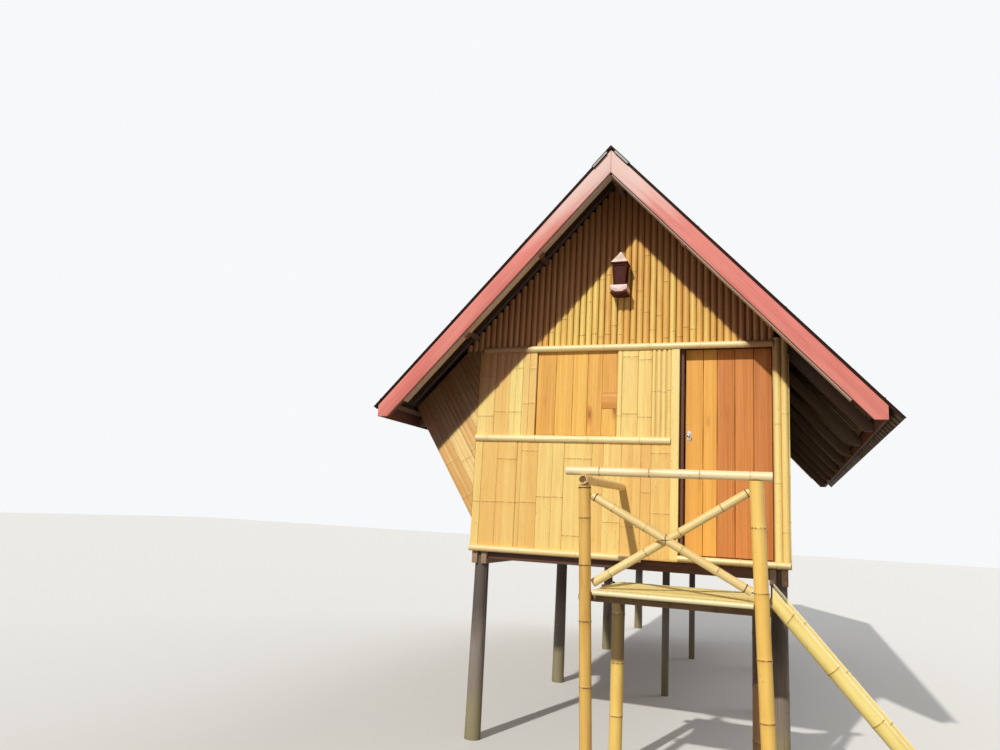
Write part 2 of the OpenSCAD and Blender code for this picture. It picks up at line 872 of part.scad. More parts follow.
// The side rail rests on the left post and ends at the wall; the top rail lies over both
module porch_rails() {
    head_x = lean_x(porch_left_x, porch_left_h);
    color("gold") {
        difference() {
            culm([head_x, left_post_y - side_rail_past, side_rail_z],
                 [head_x + side_rail_skew, front_face + side_rail_d, side_rail_z], side_rail_d);
            translate([head_x, front_face - seat, side_rail_z - side_rail_d])
                cube([wall_w, 2 * side_rail_d, 2 * side_rail_d]);
        }
        culm([head_x - rail_past_left, porch_y, top_rail_z],
             [lean_x(porch_right_x, top_rail_z) + rail_past_right, porch_y, top_rail_z], top_rail_d);
    }
}

// Two braces that cross between the front posts, the back one lashed behind the front one
module porch_braces() {
    back_y = porch_y + porch_right_d / 2 + brace_d / 2 + seat;
    front_y = back_y - brace_d - seat;
    low = deck_h + brace_low;
    high = deck_h + brace_high;
    back_low = deck_h + back_brace_low;
    back_high = deck_h + back_brace_high;
    color("khaki") {
        culm([lean_x(porch_left_x, high) + porch_left_d / 2 + brace_d / 4, front_y, high],
             [lean_x(porch_right_x, low) - porch_right_d / 2 - brace_d / 4, front_y, low], brace_d);
        culm([lean_x(porch_left_x, back_low) + porch_left_d / 2, back_y, back_low],
             [lean_x(porch_right_x, back_high) - porch_right_d / 2, back_y, back_high], brace_d);
    }
}

// One stringer, cut plumb at its head and level at its foot, with sockets for the rungs
module stringer(y, inward) {
    past = 200;
    run = [cos(stair_angle), 0, -sin(stair_angle)];
    head = [stair_top_x, y, stair_top_z];
    foot = [stair_foot_x, y, 0];
    difference() {
        culm(head - past * run, foot + past * run, stringer_d);
        translate([head.x - past, y, head.z]) cube([2 * past, 2 * stringer_d, 4 * past], center = true);
        translate([foot.x, y, -past]) cube([4 * past, 2 * stringer_d, 2 * past], center = true);
        for (i = [1 : rung_count])
            translate([rung_x(i), y + inward * (stringer_d / 2 - rung_seat - seat), i * rung_rise])
                rotate([-inward * 90, 0, 0])
                    cylinder(h = stringer_d, d = rung_d + 2 * seat);
    }
}

// Place of a rung across the house
function rung_x(i) = stair_foot_x - i * rung_rise / tan(stair_angle);

module stair_stringers() {
    color("gold") {
        stringer(stringer_y, 1);
        stringer(stringer_back_y, -1);
    }
}

module stair_rungs() {
    start_y = stringer_y + stringer_d / 2 - rung_seat;
    end_y = stringer_back_y - stringer_d / 2 + rung_seat;
    color("goldenrod")
        for (i = [1 : rung_count])
            culm([rung_x(i), start_y, i * rung_rise], [rung_x(i), end_y, i * rung_rise], rung_d);
}

front_posts();
middle_posts();
back_posts();
side_beams();
cross_beams();
floor_joists();
floor();
front_wall();
door_side_wall();
door_sill();
front_gable();
front_wing();
back_wall();
right_wall();
left_wall_base();
left_flared_wall();
wall_plates();
front_rails();
back_rails();
front_strips();
window_frame();
window_shutter();
door_frame();
door_leaf();
door_handle();
hinge_frame_halves();
hinge_door_halves();
ridge_beam();
rafters();
purlins();
left_roof_sheet();
right_roof_sheet();
ridge_cap();
bargeboards();
eave_boards();
lamp_bracket();
lamp_lantern();
porch_posts();
porch_cross_bearers();
porch_deck_bearers();
porch_deck();
porch_rails();
porch_braces();
stair_stringers();
stair_rungs();
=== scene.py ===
import math

import bmesh
import bpy
import numpy as np
from mathutils import Matrix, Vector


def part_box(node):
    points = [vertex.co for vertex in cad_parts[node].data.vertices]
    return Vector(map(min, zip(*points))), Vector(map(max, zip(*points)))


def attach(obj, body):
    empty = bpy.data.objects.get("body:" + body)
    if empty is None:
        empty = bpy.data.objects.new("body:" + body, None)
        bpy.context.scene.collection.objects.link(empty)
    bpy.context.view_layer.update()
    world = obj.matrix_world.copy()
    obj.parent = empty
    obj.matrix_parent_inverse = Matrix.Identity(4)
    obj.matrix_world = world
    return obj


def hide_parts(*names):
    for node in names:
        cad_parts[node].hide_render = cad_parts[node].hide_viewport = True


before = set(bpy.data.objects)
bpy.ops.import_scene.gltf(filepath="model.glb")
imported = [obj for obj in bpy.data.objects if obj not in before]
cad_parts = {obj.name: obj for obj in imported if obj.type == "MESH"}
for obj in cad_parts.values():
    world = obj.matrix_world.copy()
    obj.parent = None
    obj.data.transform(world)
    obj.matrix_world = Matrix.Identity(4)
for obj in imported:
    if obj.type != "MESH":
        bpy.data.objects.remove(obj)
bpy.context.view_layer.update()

# The camera stands where the photograph was taken: in front of the right end of the porch, at eye
# height, turned left and up, and held a little askew. The house itself stands plumb.
view_yaw = 0.3615
view_tilt = 0.1795
view_roll = 0.0538
view_place = (1.4167, -10.0170, 2.0735)
camera_data = bpy.data.cameras.new("camera")
camera_data.sensor_width = 36.0
camera_data.lens = 27.54
camera = bpy.data.objects.new("camera", camera_data)
bpy.context.scene.collection.objects.link(camera)
camera.matrix_world = (Matrix.Translation(view_place) @ Matrix.Rotation(view_yaw, 4, "Z")
                       @ Matrix.Rotation(math.pi / 2 + view_tilt, 4, "X")
                       @ Matrix.Rotation(view_roll, 4, "Z"))
bpy.context.scene.camera = camera
bpy.context.scene.view_settings.view_transform = "Standard"


def node(tree, kind, inputs=None, **settings):
    """A shader node; each input takes a plain value or another node's output."""
    made = tree.nodes.new(kind)
    for key, value in settings.items():
        setattr(made, key, value)
    for key, value in (inputs or {}).items():
        if isinstance(value, bpy.types.NodeSocket):
            tree.links.new(value, made.inputs[key])
        else:
            made.inputs[key].default_value = value
    return made


# Studio: a broad pale sky, a sun from the front, high on the left, whose slope puts the roof's shadow
# across the gable, and a weak broad lamp behind. The camera and shiny metal see white behind the house.
sky_fill = 0.28
world = bpy.data.worlds.new("studio")
world.use_nodes = True
sky = world.node_tree
sky.nodes.clear()
rays = node(sky, "ShaderNodeLightPath").outputs
seen = node(sky, "ShaderNodeMath", {0: rays["Is Camera Ray"], 1: rays["Is Glossy Ray"]}, operation="MAXIMUM")
seen = node(sky, "ShaderNodeMath", {0: seen.outputs[0], 1: rays["Is Transmission Ray"]}, operation="MAXIMUM")
plain = node(sky, "ShaderNodeBackground", {"Color": (1.0, 0.99, 0.97, 1.0), "Strength": sky_fill})
backdrop = node(sky, "ShaderNodeBackground", {"Color": (0.93, 0.94, 0.96, 1.0), "Strength": 1.0})
both = node(sky, "ShaderNodeMixShader", {0: seen.outputs[0], 1: plain.outputs[0], 2: backdrop.outputs[0]})
node(sky, "ShaderNodeOutputWorld", {0: both.outputs[0]})
bpy.context.scene.world = world
for name, strength, width, colour, way in (("sun", 2.85, 0.02, (1.0, 0.96, 0.89), (-0.14, -0.60, 0.43)),
                                           ("back_fill", 1.2, 0.9, (0.95, 0.97, 1.0), (0.55, 0.70, 0.60))):
    lamp_data = bpy.data.lights.new(name, "SUN")
    lamp_data.energy = strength
    lamp_data.angle = width
    lamp_data.color = colour
    lamp = bpy.data.objects.new(name, lamp_data)
    bpy.context.scene.collection.objects.link(lamp)
    lamp_up = math.atan2(way[2], math.hypot(way[0], way[1]))
    lamp.rotation_euler = (math.pi / 2 - lamp_up, 0.0, math.atan2(way[0], -way[1]))

floor_mesh = bpy.data.meshes.new("studio_floor")
reach = 60.0
floor_mesh.from_pydata([(-reach, -reach, 0), (reach, -reach, 0), (reach, reach, 0), (-reach, reach, 0)],
                       [], [(0, 1, 2, 3)])
studio_floor = bpy.data.objects.new("studio_floor", floor_mesh)
bpy.context.scene.collection.objects.link(studio_floor)
floor_paint = bpy.data.materials.new("studio_floor")
floor_paint.use_nodes = True
tree = floor_paint.node_tree
seen = node(tree, "ShaderNodeLightPath").outputs["Is Camera Ray"]
floor_seen = node(tree, "ShaderNodeMix", {0: seen, 6: (0.30, 0.29, 0.28, 1.0), 7: (0.80, 0.80, 0.79, 1.0)},
                  data_type="RGBA")
tree.links.new(floor_seen.outputs[2], tree.nodes["Principled BSDF"].inputs["Base Color"])
tree.nodes["Principled BSDF"].inputs["Roughness"].default_value = 0.9
floor_mesh.materials.append(floor_paint)


# House posts: round timber posts in four rows, a thin one under the middle of each inner row. Their
# heads are cut to a tongue that the twin side planks clasp, and the planks sit on the shoulders.
post_half = 1.355
row_ys = np.linspace(-2.9, 5.8, 4)
post_foot_d = 0.150
post_head_d = 0.132
post_shoulder_z = 1.600
post_top_z = 1.735
post_tongue = 0.040
centre_post_d = 0.090
centre_post_top = 1.645


def outwards(flat, quads, triangles):
    """Both lists of faces, turned over if the volume they enclose, a sum of corner products, is below 0."""
    volume = 0.0
    for faces in (quads[:, :3], quads[:, [0, 2, 3]], triangles):
        corner = flat[faces]
        volume += np.einsum("ij,ij->", np.cross(corner[:, 0], corner[:, 1]), corner[:, 2])
    return (quads[:, ::-1], triangles[:, ::-1]) if volume < 0 else (quads, triangles)


def skin(loops, grain, joint, tint, hollow=(0.0, 0.0), wall=0.15):
    """One closed skin over section loops of equal length, row i being loop i.

    Quads join (i, j), (i, j + 1), (i + 1, j + 1), (i + 1, j), with j wrapping round. Each end first
    steps in a little, as a sawn arris; a hollow end then steps in to (1 - wall) of its size and
    sinks by its depth; a fan to the middle closes it. The marks of every point are its grain place,
    its distance to the nearest joint, its tint, and cut, which is 1 on what the saw opened.
    """
    def end_rows(loop, marks, inward, depth):
        middle = loop.mean(0)
        rows = [middle + (loop - middle) * 0.97]
        if depth:
            rim = middle + (loop - middle) * (1 - wall)
            rows += [rim, rim + inward * depth]
        return rows, [marks] * len(rows)

    ends = []
    for first, second, depth in ((0, 1, hollow[0]), (-1, -2, hollow[1])):
        inward = loops[second].mean(0) - loops[first].mean(0)
        inward = inward / np.linalg.norm(inward)
        ends.append(end_rows(loops[first], grain[first], inward, depth))
    before, after = len(ends[0][0]), len(ends[1][0])
    points = np.concatenate([ends[0][0][::-1], loops, ends[1][0]])
    grain = np.concatenate([ends[0][1][::-1], grain, ends[1][1]])
    joint = np.concatenate([np.full(before, 1.0), joint, np.full(after, 1.0)])
    rows, columns = points.shape[:2]
    cut = np.zeros((rows, columns))
    cut[:before] = 1.0
    cut[rows - after:] = 1.0
    index = np.arange(rows * columns).reshape(rows, columns)
    turned = np.roll(index, -1, axis=1)
    quads = np.stack([index[:-1], turned[:-1], turned[1:], index[1:]], -1).reshape(-1, 4)
    count = rows * columns
    fans = [np.stack([turned[0], index[0], np.full(columns, count)], -1),
            np.stack([index[-1], turned[-1], np.full(columns, count + 1)], -1)]
    flat = np.concatenate([points.reshape(-1, 3), points[0].mean(0)[None], points[-1].mean(0)[None]])
    marks = np.concatenate([grain.reshape(-1, 3), grain[0].mean(0)[None], grain[-1].mean(0)[None]])
    quads, triangles = outwards(flat, quads, np.concatenate(fans))
    return {"points": flat, "quads": quads, "triangles": triangles, "grain": marks,
            "joint": np.append(np.repeat(joint, columns), [1.0, 1.0]),
            "cut": np.append(cut.ravel(), [1.0, 1.0]), "tint": np.full(len(flat), tint)}


def mark(mesh, **fields):
    """Gives the mesh its marks: a number or a place for every point, each under its own name."""
    for label, values in fields.items():
        kind, key = ("FLOAT_VECTOR", "vector") if values.ndim == 2 else ("FLOAT", "value")
        mesh.attributes.new(label, kind, "POINT").data.foreach_set(key, values.ravel())


skin_sharp = 35
board_sharp = 50


def smooth_object(name, mesh, sharp):
    """An object at the origin with smooth faces, and with edges over sharp degrees kept sharp."""
    mesh.polygons.foreach_set("use_smooth", np.ones(len(mesh.polygons), bool))
    mesh.set_sharp_from_angle(angle=math.radians(sharp))
    made = bpy.data.objects.new(name, mesh)
    bpy.context.scene.collection.objects.link(made)
    return made


def mesh_object(name, shapes):
    """One object from several skins, with their marks."""
    sizes = np.array([len(shape["points"]) for shape in shapes])
    starts = np.cumsum(sizes) - sizes
    points = np.concatenate([shape["points"] for shape in shapes])
    quads = np.concatenate([shape["quads"] + start for shape, start in zip(shapes, starts)])
    triangles = np.concatenate([shape["triangles"] + start for shape, start in zip(shapes, starts)])
    mesh = bpy.data.meshes.new(name)
    mesh.vertices.add(len(points))
    mesh.vertices.foreach_set("co", points.ravel())
    mesh.loops.add(quads.size + triangles.size)
    mesh.loops.foreach_set("vertex_index", np.concatenate([quads.ravel(), triangles.ravel()]))
    mesh.polygons.add(len(quads) + len(triangles))
    mesh.polygons.foreach_set("loop_start", np.concatenate(
        [np.arange(len(quads)) * 4, quads.size + np.arange(len(triangles)) * 3]))
    mesh.update(calc_edges=True)
    mark(mesh, **{label: np.concatenate([shape[label] for shape in shapes])
                  for label in ("grain", "joint", "tint", "cut")})
    return smooth_object(name, mesh, skin_sharp)


def put(piece, material, body="house", replaces=()):
    """Gives a finished piece its material and its body, and hides the CAD nodes it stands for."""
    piece.data.materials.clear()
    piece.data.materials.append(material)
    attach(piece, body)
    if replaces:
        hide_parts(*replaces)
    return piece


def maths(tree, operation, first, second=0.0):
    """One sum on numbers that vary over the surface."""
    return node(tree, "ShaderNodeMath", {0: first, 1: second}, operation=operation).outputs[0]


def weighted(tree, *parts):
    """The parts, each a value and its weight, multiplied out and added up in order."""
    total = None
    for value, weight in parts:
        part = value if weight == 1 else maths(tree, "MULTIPLY", value, weight)
        total = part if total is None else maths(tree, "ADD", total, part)
    return total


def mixed(tree, mask, first, second, strength=1):
    """The first colour turned towards the second by mask times strength."""
    share = mask if strength == 1 else maths(tree, "MULTIPLY", mask, strength)
    return node(tree, "ShaderNodeMix", {0: share, 6: first, 7: second}, data_type="RGBA",
                clamp_factor=True).outputs[2]


def between(tree, value, low, high):
    """0 where value is at low, 1 where it is at high, eased between them."""
    return node(tree, "ShaderNodeMapRange", {"Value": value, "From Min": low, "From Max": high},
                interpolation_type="SMOOTHSTEP").outputs[0]


def stretched(tree, vector, stretch):
    """The vector with each of its three numbers multiplied by that of stretch."""
    return node(tree, "ShaderNodeVectorMath", {0: vector, 1: stretch}, operation="MULTIPLY").outputs[0]


def noise(tree, vector, stretch, detail=2.0):
    """Noise whose scale is stretch per metre along the grain and across it."""
    return node(tree, "ShaderNodeTexNoise", {"Vector": stretched(tree, vector, stretch), "Scale": 1.0,
                                             "Detail": detail}).outputs[0]


def object_place(tree):
    """The place on the piece, which is also its place in the house, in metres."""
    return node(tree, "ShaderNodeTexCoord").outputs["Object"]


def along_axis(tree, place, axis):
    """One of the three numbers of a place."""
    return node(tree, "ShaderNodeSeparateXYZ", {0: place}).outputs[axis]


def new_group(name, inputs, outputs):
    """An empty node group with the named inputs and outputs; returns its tree and both end nodes."""
    tree = bpy.data.node_groups.new(name, "ShaderNodeTree")
    for label, kind in inputs:
        tree.interface.new_socket(label, in_out="INPUT", socket_type="NodeSocket" + kind)
    for label, kind in outputs:
        tree.interface.new_socket(label, in_out="OUTPUT", socket_type="NodeSocket" + kind)
    return tree, tree.nodes.new("NodeGroupInput").outputs, tree.nodes.new("NodeGroupOutput").inputs


# Sawn timber: growth rings as waves round an axis beside the board, fine pores along the grain,
# knots in scattered cells, and grey weathering that gathers in patches.
timber_group, given, wanted = new_group(
    "sawn_timber", [("Grain", "Vector"), ("Tint", "Float"), ("Cut", "Float"), ("Pale", "Color"),
                    ("Deep", "Color"), ("Worn", "Color"), ("Knots", "Float"), ("Wear", "Float")],
    [("Colour", "Color"), ("Roughness", "Float"), ("Height", "Float")])
tree = timber_group
rings = node(tree, "ShaderNodeTexWave",
             {"Vector": stretched(tree, given["Grain"], (0.045, 1.0, 1.0)), "Scale": 26.0, "Distortion": 5.0,
              "Detail": 2.0, "Detail Scale": 0.9}, wave_type="RINGS", rings_direction="X").outputs["Fac"]
pores = noise(tree, given["Grain"], (9.0, 520.0, 520.0), 1.0)
streaks = noise(tree, given["Grain"], (0.9, 34.0, 34.0), 3.0)
patches = noise(tree, given["Grain"], (1.3, 6.0, 6.0), 3.0)
cells = stretched(tree, given["Grain"], (2.6, 8.5, 8.5))
knots = node(tree, "ShaderNodeTexVoronoi", {"Vector": cells, "Scale": 1.0, "Randomness": 1.0})
chosen = node(tree, "ShaderNodeSeparateColor", {0: knots.outputs["Color"]}).outputs[0]
chosen = between(tree, chosen, 0.58, 0.62)
knot_core = maths(tree, "MULTIPLY", between(tree, knots.outputs["Distance"], 0.17, 0.09), chosen)
knot_ring = maths(tree, "MULTIPLY", between(tree, knots.outputs["Distance"], 0.36, 0.14), chosen)
knot_core = maths(tree, "MULTIPLY", knot_core, given["Knots"])
knot_ring = maths(tree, "MULTIPLY", knot_ring, given["Knots"])
tone = weighted(tree, (streaks, 1), (rings, 0.16), (given["Tint"], 0.75), (knot_ring, 0.5))
colour = mixed(tree, between(tree, tone, 0.45, 1.65), given["Pale"], given["Deep"])
colour = mixed(tree, between(tree, pores, 0.55, 0.8), colour,
               mixed(tree, 0.55, given["Deep"], (0.02, 0.01, 0.005, 1.0)), 0.35)
colour = mixed(tree, knot_core, colour, mixed(tree, 0.6, given["Deep"], (0.015, 0.006, 0.003, 1.0)), 0.75)
weather = weighted(tree, (patches, 1), (streaks, 0.5))
worn_mask = maths(tree, "MULTIPLY", between(tree, weather, 0.55, 0.95), given["Wear"])
colour = mixed(tree, worn_mask, colour, given["Worn"])
colour = mixed(tree, given["Cut"], colour, mixed(tree, 0.5, given["Deep"], given["Worn"]), 0.45)
tree.links.new(colour, wanted["Colour"])
tree.links.new(weighted(tree, (streaks, 0.25), (worn_mask, 0.15), (0.48, 1)), wanted["Roughness"])
tree.links.new(weighted(tree, (rings, 0.12), (pores, 0.35), (knot_core, -0.3)), wanted["Height"])


def new_material(name):
    """A material with a Principled shader; returns it, its tree and the shader's inputs."""
    material = bpy.data.materials.new(name)
    material.use_nodes = True
    return material, material.node_tree, material.node_tree.nodes["Principled BSDF"].inputs


def attribute(tree, label, output="Fac"):
    """A mark that the mesh carries."""
    return node(tree, "ShaderNodeAttribute", attribute_name=label).outputs[output]


def bump(tree, height, depth, shader):
    """Relief of the given depth in metres."""
    made = node(tree, "ShaderNodeBump", {"Height": height, "Distance": depth, "Strength": 1.0})
    tree.links.new(made.outputs[0], shader["Normal"])


def timber_material(name, pale, deep, worn=(0.30, 0.27, 0.23), knots=0.0, wear=0.0, depth=0.0012):
    """Sawn timber in its own colours, laid along each piece's grain."""
    material, tree, shader = new_material(name)
    made = node(tree, "ShaderNodeGroup",
                {"Grain": attribute(tree, "grain", "Vector"), "Tint": attribute(tree, "tint"),
                 "Cut": attribute(tree, "cut"), "Pale": (*pale, 1.0), "Deep": (*deep, 1.0),
                 "Worn": (*worn, 1.0), "Knots": knots, "Wear": wear}, node_tree=timber_group)
    tree.links.new(made.outputs["Colour"], shader["Base Color"])
    tree.links.new(made.outputs["Roughness"], shader["Roughness"])
    bump(tree, made.outputs["Height"], depth, shader)
    return material


def house_post(x, y, top, foot_d, head_d, tongue, rng):
    """A hewn round post: r(a, z) = d(z) / 2 * (1 + small waves of 2a and 3a) less three drying cracks,
    each a groove of exp(-(angle from the crack / 0.05)^2); the tongue clips x to half its width."""
    rows, columns, crack_deep, crack_long = 36, 64, 0.006, 0.75
    angle = np.linspace(0, 2 * math.pi, columns, endpoint=False)
    turn, height = np.meshgrid(angle, np.linspace(0.0, top, rows))
    radius = (foot_d + (head_d - foot_d) * height / top) / 2
    phase = rng.uniform(0, 6.28, 6)
    radius = radius * (1 + 0.016 * np.sin(2 * turn + phase[0] + 0.6 * height)
                       + 0.012 * np.sin(3 * turn + phase[1] + 2.1 * height)
                       + 0.006 * np.sin(5 * height + phase[2]))
    for start, low in zip(phase[3:], rng.uniform(0.0, 0.9, 3)):
        away = np.angle(np.exp(1j * (turn - start - 0.12 * np.sin(3 * height))))
        window = 1 / (1 + np.exp(-(height - low) / 0.03)) / (1 + np.exp((height - low - crack_long) / 0.03))
        radius = radius - crack_deep * window * np.exp(-(away / 0.05) ** 2)
    loops = np.stack([x + radius * np.cos(turn), y + radius * np.sin(turn), height], -1)
    if tongue:
        head = np.repeat(loops[-1:], 2, axis=0)
        head[..., 0] = np.clip(head[..., 0], x - post_tongue / 2, x + post_tongue / 2)
        head[1, :, 2] = post_top_z
        loops = np.concatenate([loops, head])
    grain = np.stack([loops[..., 2], loops[..., 0] - x, loops[..., 1] - y], -1) + rng.uniform(0, 9, 3)
    return skin(loops, grain, np.ones(len(loops)), rng.uniform())


post_rng = np.random.default_rng(11)
posts = [house_post(x, y, post_shoulder_z, post_foot_d, post_head_d, True, post_rng)
         for y in row_ys for x in (-post_half, post_half)]
posts += [house_post(0.0, y, centre_post_top, centre_post_d, centre_post_d, False, post_rng)
          for y in row_ys[1:3]]
house_posts = mesh_object("house_posts", posts)
post_wood = timber_material("weathered_posts", (0.34, 0.27, 0.21), (0.13, 0.098, 0.078), (0.29, 0.26, 0.24),
                            knots=0.8, wear=0.8, depth=0.003)
tree = post_wood.node_tree
place = object_place(tree)
ragged = weighted(tree, (along_axis(tree, place, 2), 1), (noise(tree, place, (9.0, 9.0, 4.0), 3.0), 0.30))
colour = tree.nodes["Principled BSDF"].inputs["Base Color"]
# Painted shade: from about 1 m up the posts turn nearly black, where the floor shades them. Near the foot
# they turn greenish grey.
shade_under_floor = between(tree, ragged, 0.95, 1.35)
splashed = between(tree, ragged, 0.68, 0.5)
darkened = mixed(tree, shade_under_floor, colour.links[0].from_socket, (0.052, 0.034, 0.024, 1.0), 0.72)
tree.links.new(mixed(tree, splashed, darkened, (0.30, 0.26, 0.11, 1.0), 0.6), colour)
put(house_posts, post_wood, replaces=("front_posts", "middle_posts", "back_posts"))


# Beams: a pair of sawn planks along each side on the posts' shoulders, brown cross beams between them
# at each row of posts, and joists across them that carry the floor.
def eased(name, node_name, radius, rng):
    """The CAD piece with its flat faces joined and every edge rounded by radius in two steps.

    Each loose solid gets its own tint. Its grain runs along its longest way, found as the first
    principal axis of its points, and the points at both ends of that way are marked as sawn.
    """
    work = bmesh.new()
    work.from_mesh(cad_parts[node_name].data)
    bmesh.ops.remove_doubles(work, verts=work.verts, dist=1e-5)
    bmesh.ops.dissolve_limit(work, angle_limit=0.02, verts=work.verts, edges=work.edges)
    bmesh.ops.bevel(work, geom=list(work.edges), offset=radius, segments=2, profile=0.6, affect="EDGES",
                    clamp_overlap=True)
    mesh = bpy.data.meshes.new(name)
    work.to_mesh(mesh)
    work.free()
    points = np.empty(len(mesh.vertices) * 3)
    mesh.vertices.foreach_get("co", points)
    points = points.reshape(-1, 3)
    edges = np.empty(len(mesh.edges) * 2, int)
    mesh.edges.foreach_get("vertices", edges)
    edges = edges.reshape(-1, 2)
    label = np.arange(len(points))
    while True:
        lowest = label[edges].min(1)
        joined = label.copy()
        np.minimum.at(joined, edges.ravel(), np.repeat(lowest, 2))
        if (joined == label).all():
            break
        label = joined
    grain = np.zeros_like(points)
    tint = np.zeros(len(points))
    cut = np.zeros(len(points))
    for solid in np.unique(label):
        mine = label == solid
        centred = points[mine] - points[mine].mean(0)
        axes = np.linalg.svd(centred, full_matrices=False)[2]
        local = centred @ axes.T
        grain[mine] = local + rng.uniform(0, 9, 3)
        tint[mine] = rng.uniform()
        cut[mine] = np.abs(local[:, 0]) > np.abs(local[:, 0]).max() - radius / 4
    mark(mesh, grain=grain, tint=tint, cut=cut)
    return smooth_object(name, mesh, board_sharp)


beam_rng = np.random.default_rng(12)
sawn_wood = timber_material("sawn_beams", (0.50, 0.30, 0.17), (0.27, 0.13, 0.065), (0.24, 0.20, 0.17),
                            knots=0.7, wear=0.5, depth=0.002)
brown_wood = timber_material("brown_beams", (0.20, 0.075, 0.035), (0.085, 0.028, 0.014), (0.15, 0.10, 0.08),
                             knots=0.3, wear=0.3, depth=0.0015)
put(eased("side_planks", "side_beams", 0.004, beam_rng), sawn_wood, replaces=("side_beams",))
put(eased("cross_beam_planks", "cross_beams", 0.004, beam_rng), brown_wood,
    replaces=("cross_beams",))
put(eased("joists", "floor_joists", 0.003, beam_rng), sawn_wood, replaces=("floor_joists",))


# Flattened bamboo: culms split open and pressed flat, so each panel is a row of narrow slats with
# cracks between them and the culm's joints running across as thin ridges. The floor is made of it.
def from_joints(s, joints):
    """Distance from each place s to the nearest joint, at most 50 mm."""
    away = np.abs(s[:, None] - joints).min(1) if len(joints) else np.ones(len(s))
    return np.minimum(away, 0.05)


def flattened(origin, along, across, length, width, joints, rng, slat=0.065, thick=0.009, crack=0.0035):
    """A panel of flattened bamboo lying on a plane through origin, standing off it along
    out = across x along or its opposite.

    Point = origin + s * along + a * across + h(s, a) * out. Across each slat h falls from thick at the
    crown to thick - crack at its edges; along it sways a little, and rises by 1.2 mm *
    exp(-((s - joint) / 5 mm)^2) at each joint. The joint mark is |s - joint|, at most 50 mm.
    """
    origin, along, across = (np.array(value, float) for value in (origin, along, across))
    out = np.cross(across, along)
    count = max(1, round(width / slat))
    shares = rng.uniform(0.75, 1.25, count)
    edges = np.concatenate([[0.0], np.cumsum(shares / shares.sum())]) * width
    fractions = np.array([0.0, 0.10, 0.5, 0.90])
    falls = np.array([1.0, 0.22, 0.0, 0.22])
    a = (edges[:-1, None] + (edges[1:] - edges[:-1])[:, None] * fractions).ravel()
    a = np.append(a, width)
    deep = np.repeat(rng.uniform(0.5, 1.3, count), 4)
    fall = np.append(np.tile(falls, count) * deep, 1.0) * crack
    lift = np.append(np.repeat(rng.uniform(-0.0012, 0.0012, count), 4), 0.0)
    joints = np.asarray(joints, float)
    near = (joints[:, None] + np.array([-0.05, -0.012, -0.004, 0.0, 0.004, 0.012, 0.05])).ravel()
    even = np.linspace(0.0, length, max(2, int(length / 0.35) + 1))
    s = np.unique(np.concatenate([even, near[(near > 0.002) & (near < length - 0.002)]]))
    nearest = from_joints(s, joints)
    ridge = 0.0012 * np.exp(-(nearest / 0.005) ** 2)
    sway = 0.0008 * np.sin(s[:, None] * rng.uniform(3, 9) + a * rng.uniform(20, 60))
    h = thick - fall + lift + sway + ridge[:, None]
    h = np.concatenate([np.zeros((len(s), 1)), h, np.zeros((len(s), 1))], 1)
    a = np.concatenate([[0.0], a, [width]])
    shrink = np.concatenate([[0.0012], np.zeros(len(a) - 2), [-0.0012]])
    loops = (origin + s[:, None, None] * along + (a + shrink)[:, None] * across + h[:, :, None] * out)
    slats = np.concatenate([[0], np.repeat(np.arange(count), 4), [count - 1, count - 1]])
    place = np.stack([np.broadcast_to(s[:, None], h.shape), np.broadcast_to(a, h.shape), h], -1)
    shift = rng.uniform(0, 9, 3) + slats[:, None] * np.array([0.37, 0.0, 0.0])
    tone = rng.uniform()
    made = skin(loops, place + shift, nearest, tone)
    own = np.clip(tone + rng.uniform(-0.22, 0.22, count)[slats], 0, 1)
    rows = (len(made["points"]) - 2) // len(a)
    made["tint"] = np.append(np.tile(own, rows), [tone, tone])
    return made


def joint_places(length, spacing, rng):
    """Joints along a culm, spacing apart give or take a fifth, from a chance start."""
    steps = spacing * rng.uniform(0.8, 1.2, int(length / spacing) + 3)
    places = np.cumsum(steps) - spacing * rng.uniform(0.0, 1.0)
    return places[(places > 0.03) & (places < length - 0.03)]


def course(origin, along, across, length, extent, rng, panel=0.17, **shape):
    """Panels of flattened bamboo side by side over extent, each panel's width give or take a third."""
    count = max(1, round(extent / panel))
    shares = rng.uniform(0.7, 1.3, count)
    edges = np.concatenate([[0.0], np.cumsum(shares / shares.sum())]) * extent
    origin, across_way = np.array(origin, float), np.array(across, float)
    gap, joint_spacing = 0.0015, 0.34
    return [flattened(origin + (start + gap) * across_way, along, across, length, end - start - 2 * gap,
                      joint_places(length, joint_spacing, rng), rng, **shape)
            for start, end in zip(edges[:-1], edges[1:])]


fibre_depth = 0.0006
bamboo_group, given, wanted = new_group(
    "bamboo_skin", [("Grain", "Vector"), ("Joint", "Float"), ("Tint", "Float"), ("Cut", "Float"),
                    ("Pale", "Color"), ("Deep", "Color"), ("Stain", "Color"), ("Stained", "Float"),
                    ("Ring", "Float")],
    [("Colour", "Color"), ("Roughness", "Float"), ("Height", "Float")])
tree = bamboo_group
fibres = noise(tree, given["Grain"], (5.0, 480.0, 480.0), 1.0)
streaks = noise(tree, given["Grain"], (0.8, 42.0, 42.0), 3.0)
patches = noise(tree, given["Grain"], (2.2, 9.0, 9.0), 3.0)
tone = weighted(tree, (streaks, 0.7), (patches, 0.55), (given["Tint"], 0.75))
colour = mixed(tree, between(tree, tone, 0.55, 1.5), given["Pale"], given["Deep"])
colour = mixed(tree, between(tree, fibres, 0.52, 0.8), colour, given["Stain"], 0.25)
line = maths(tree, "MULTIPLY", between(tree, given["Joint"], 0.0050, 0.0012),
             between(tree, streaks, 0.30, 0.56))
halo = maths(tree, "MULTIPLY", between(tree, given["Joint"], 0.045, 0.004),
             between(tree, patches, 0.40, 0.70))
colour = mixed(tree, halo, colour, given["Deep"], 0.45)
colour = mixed(tree, line, colour, given["Stain"], given["Ring"])
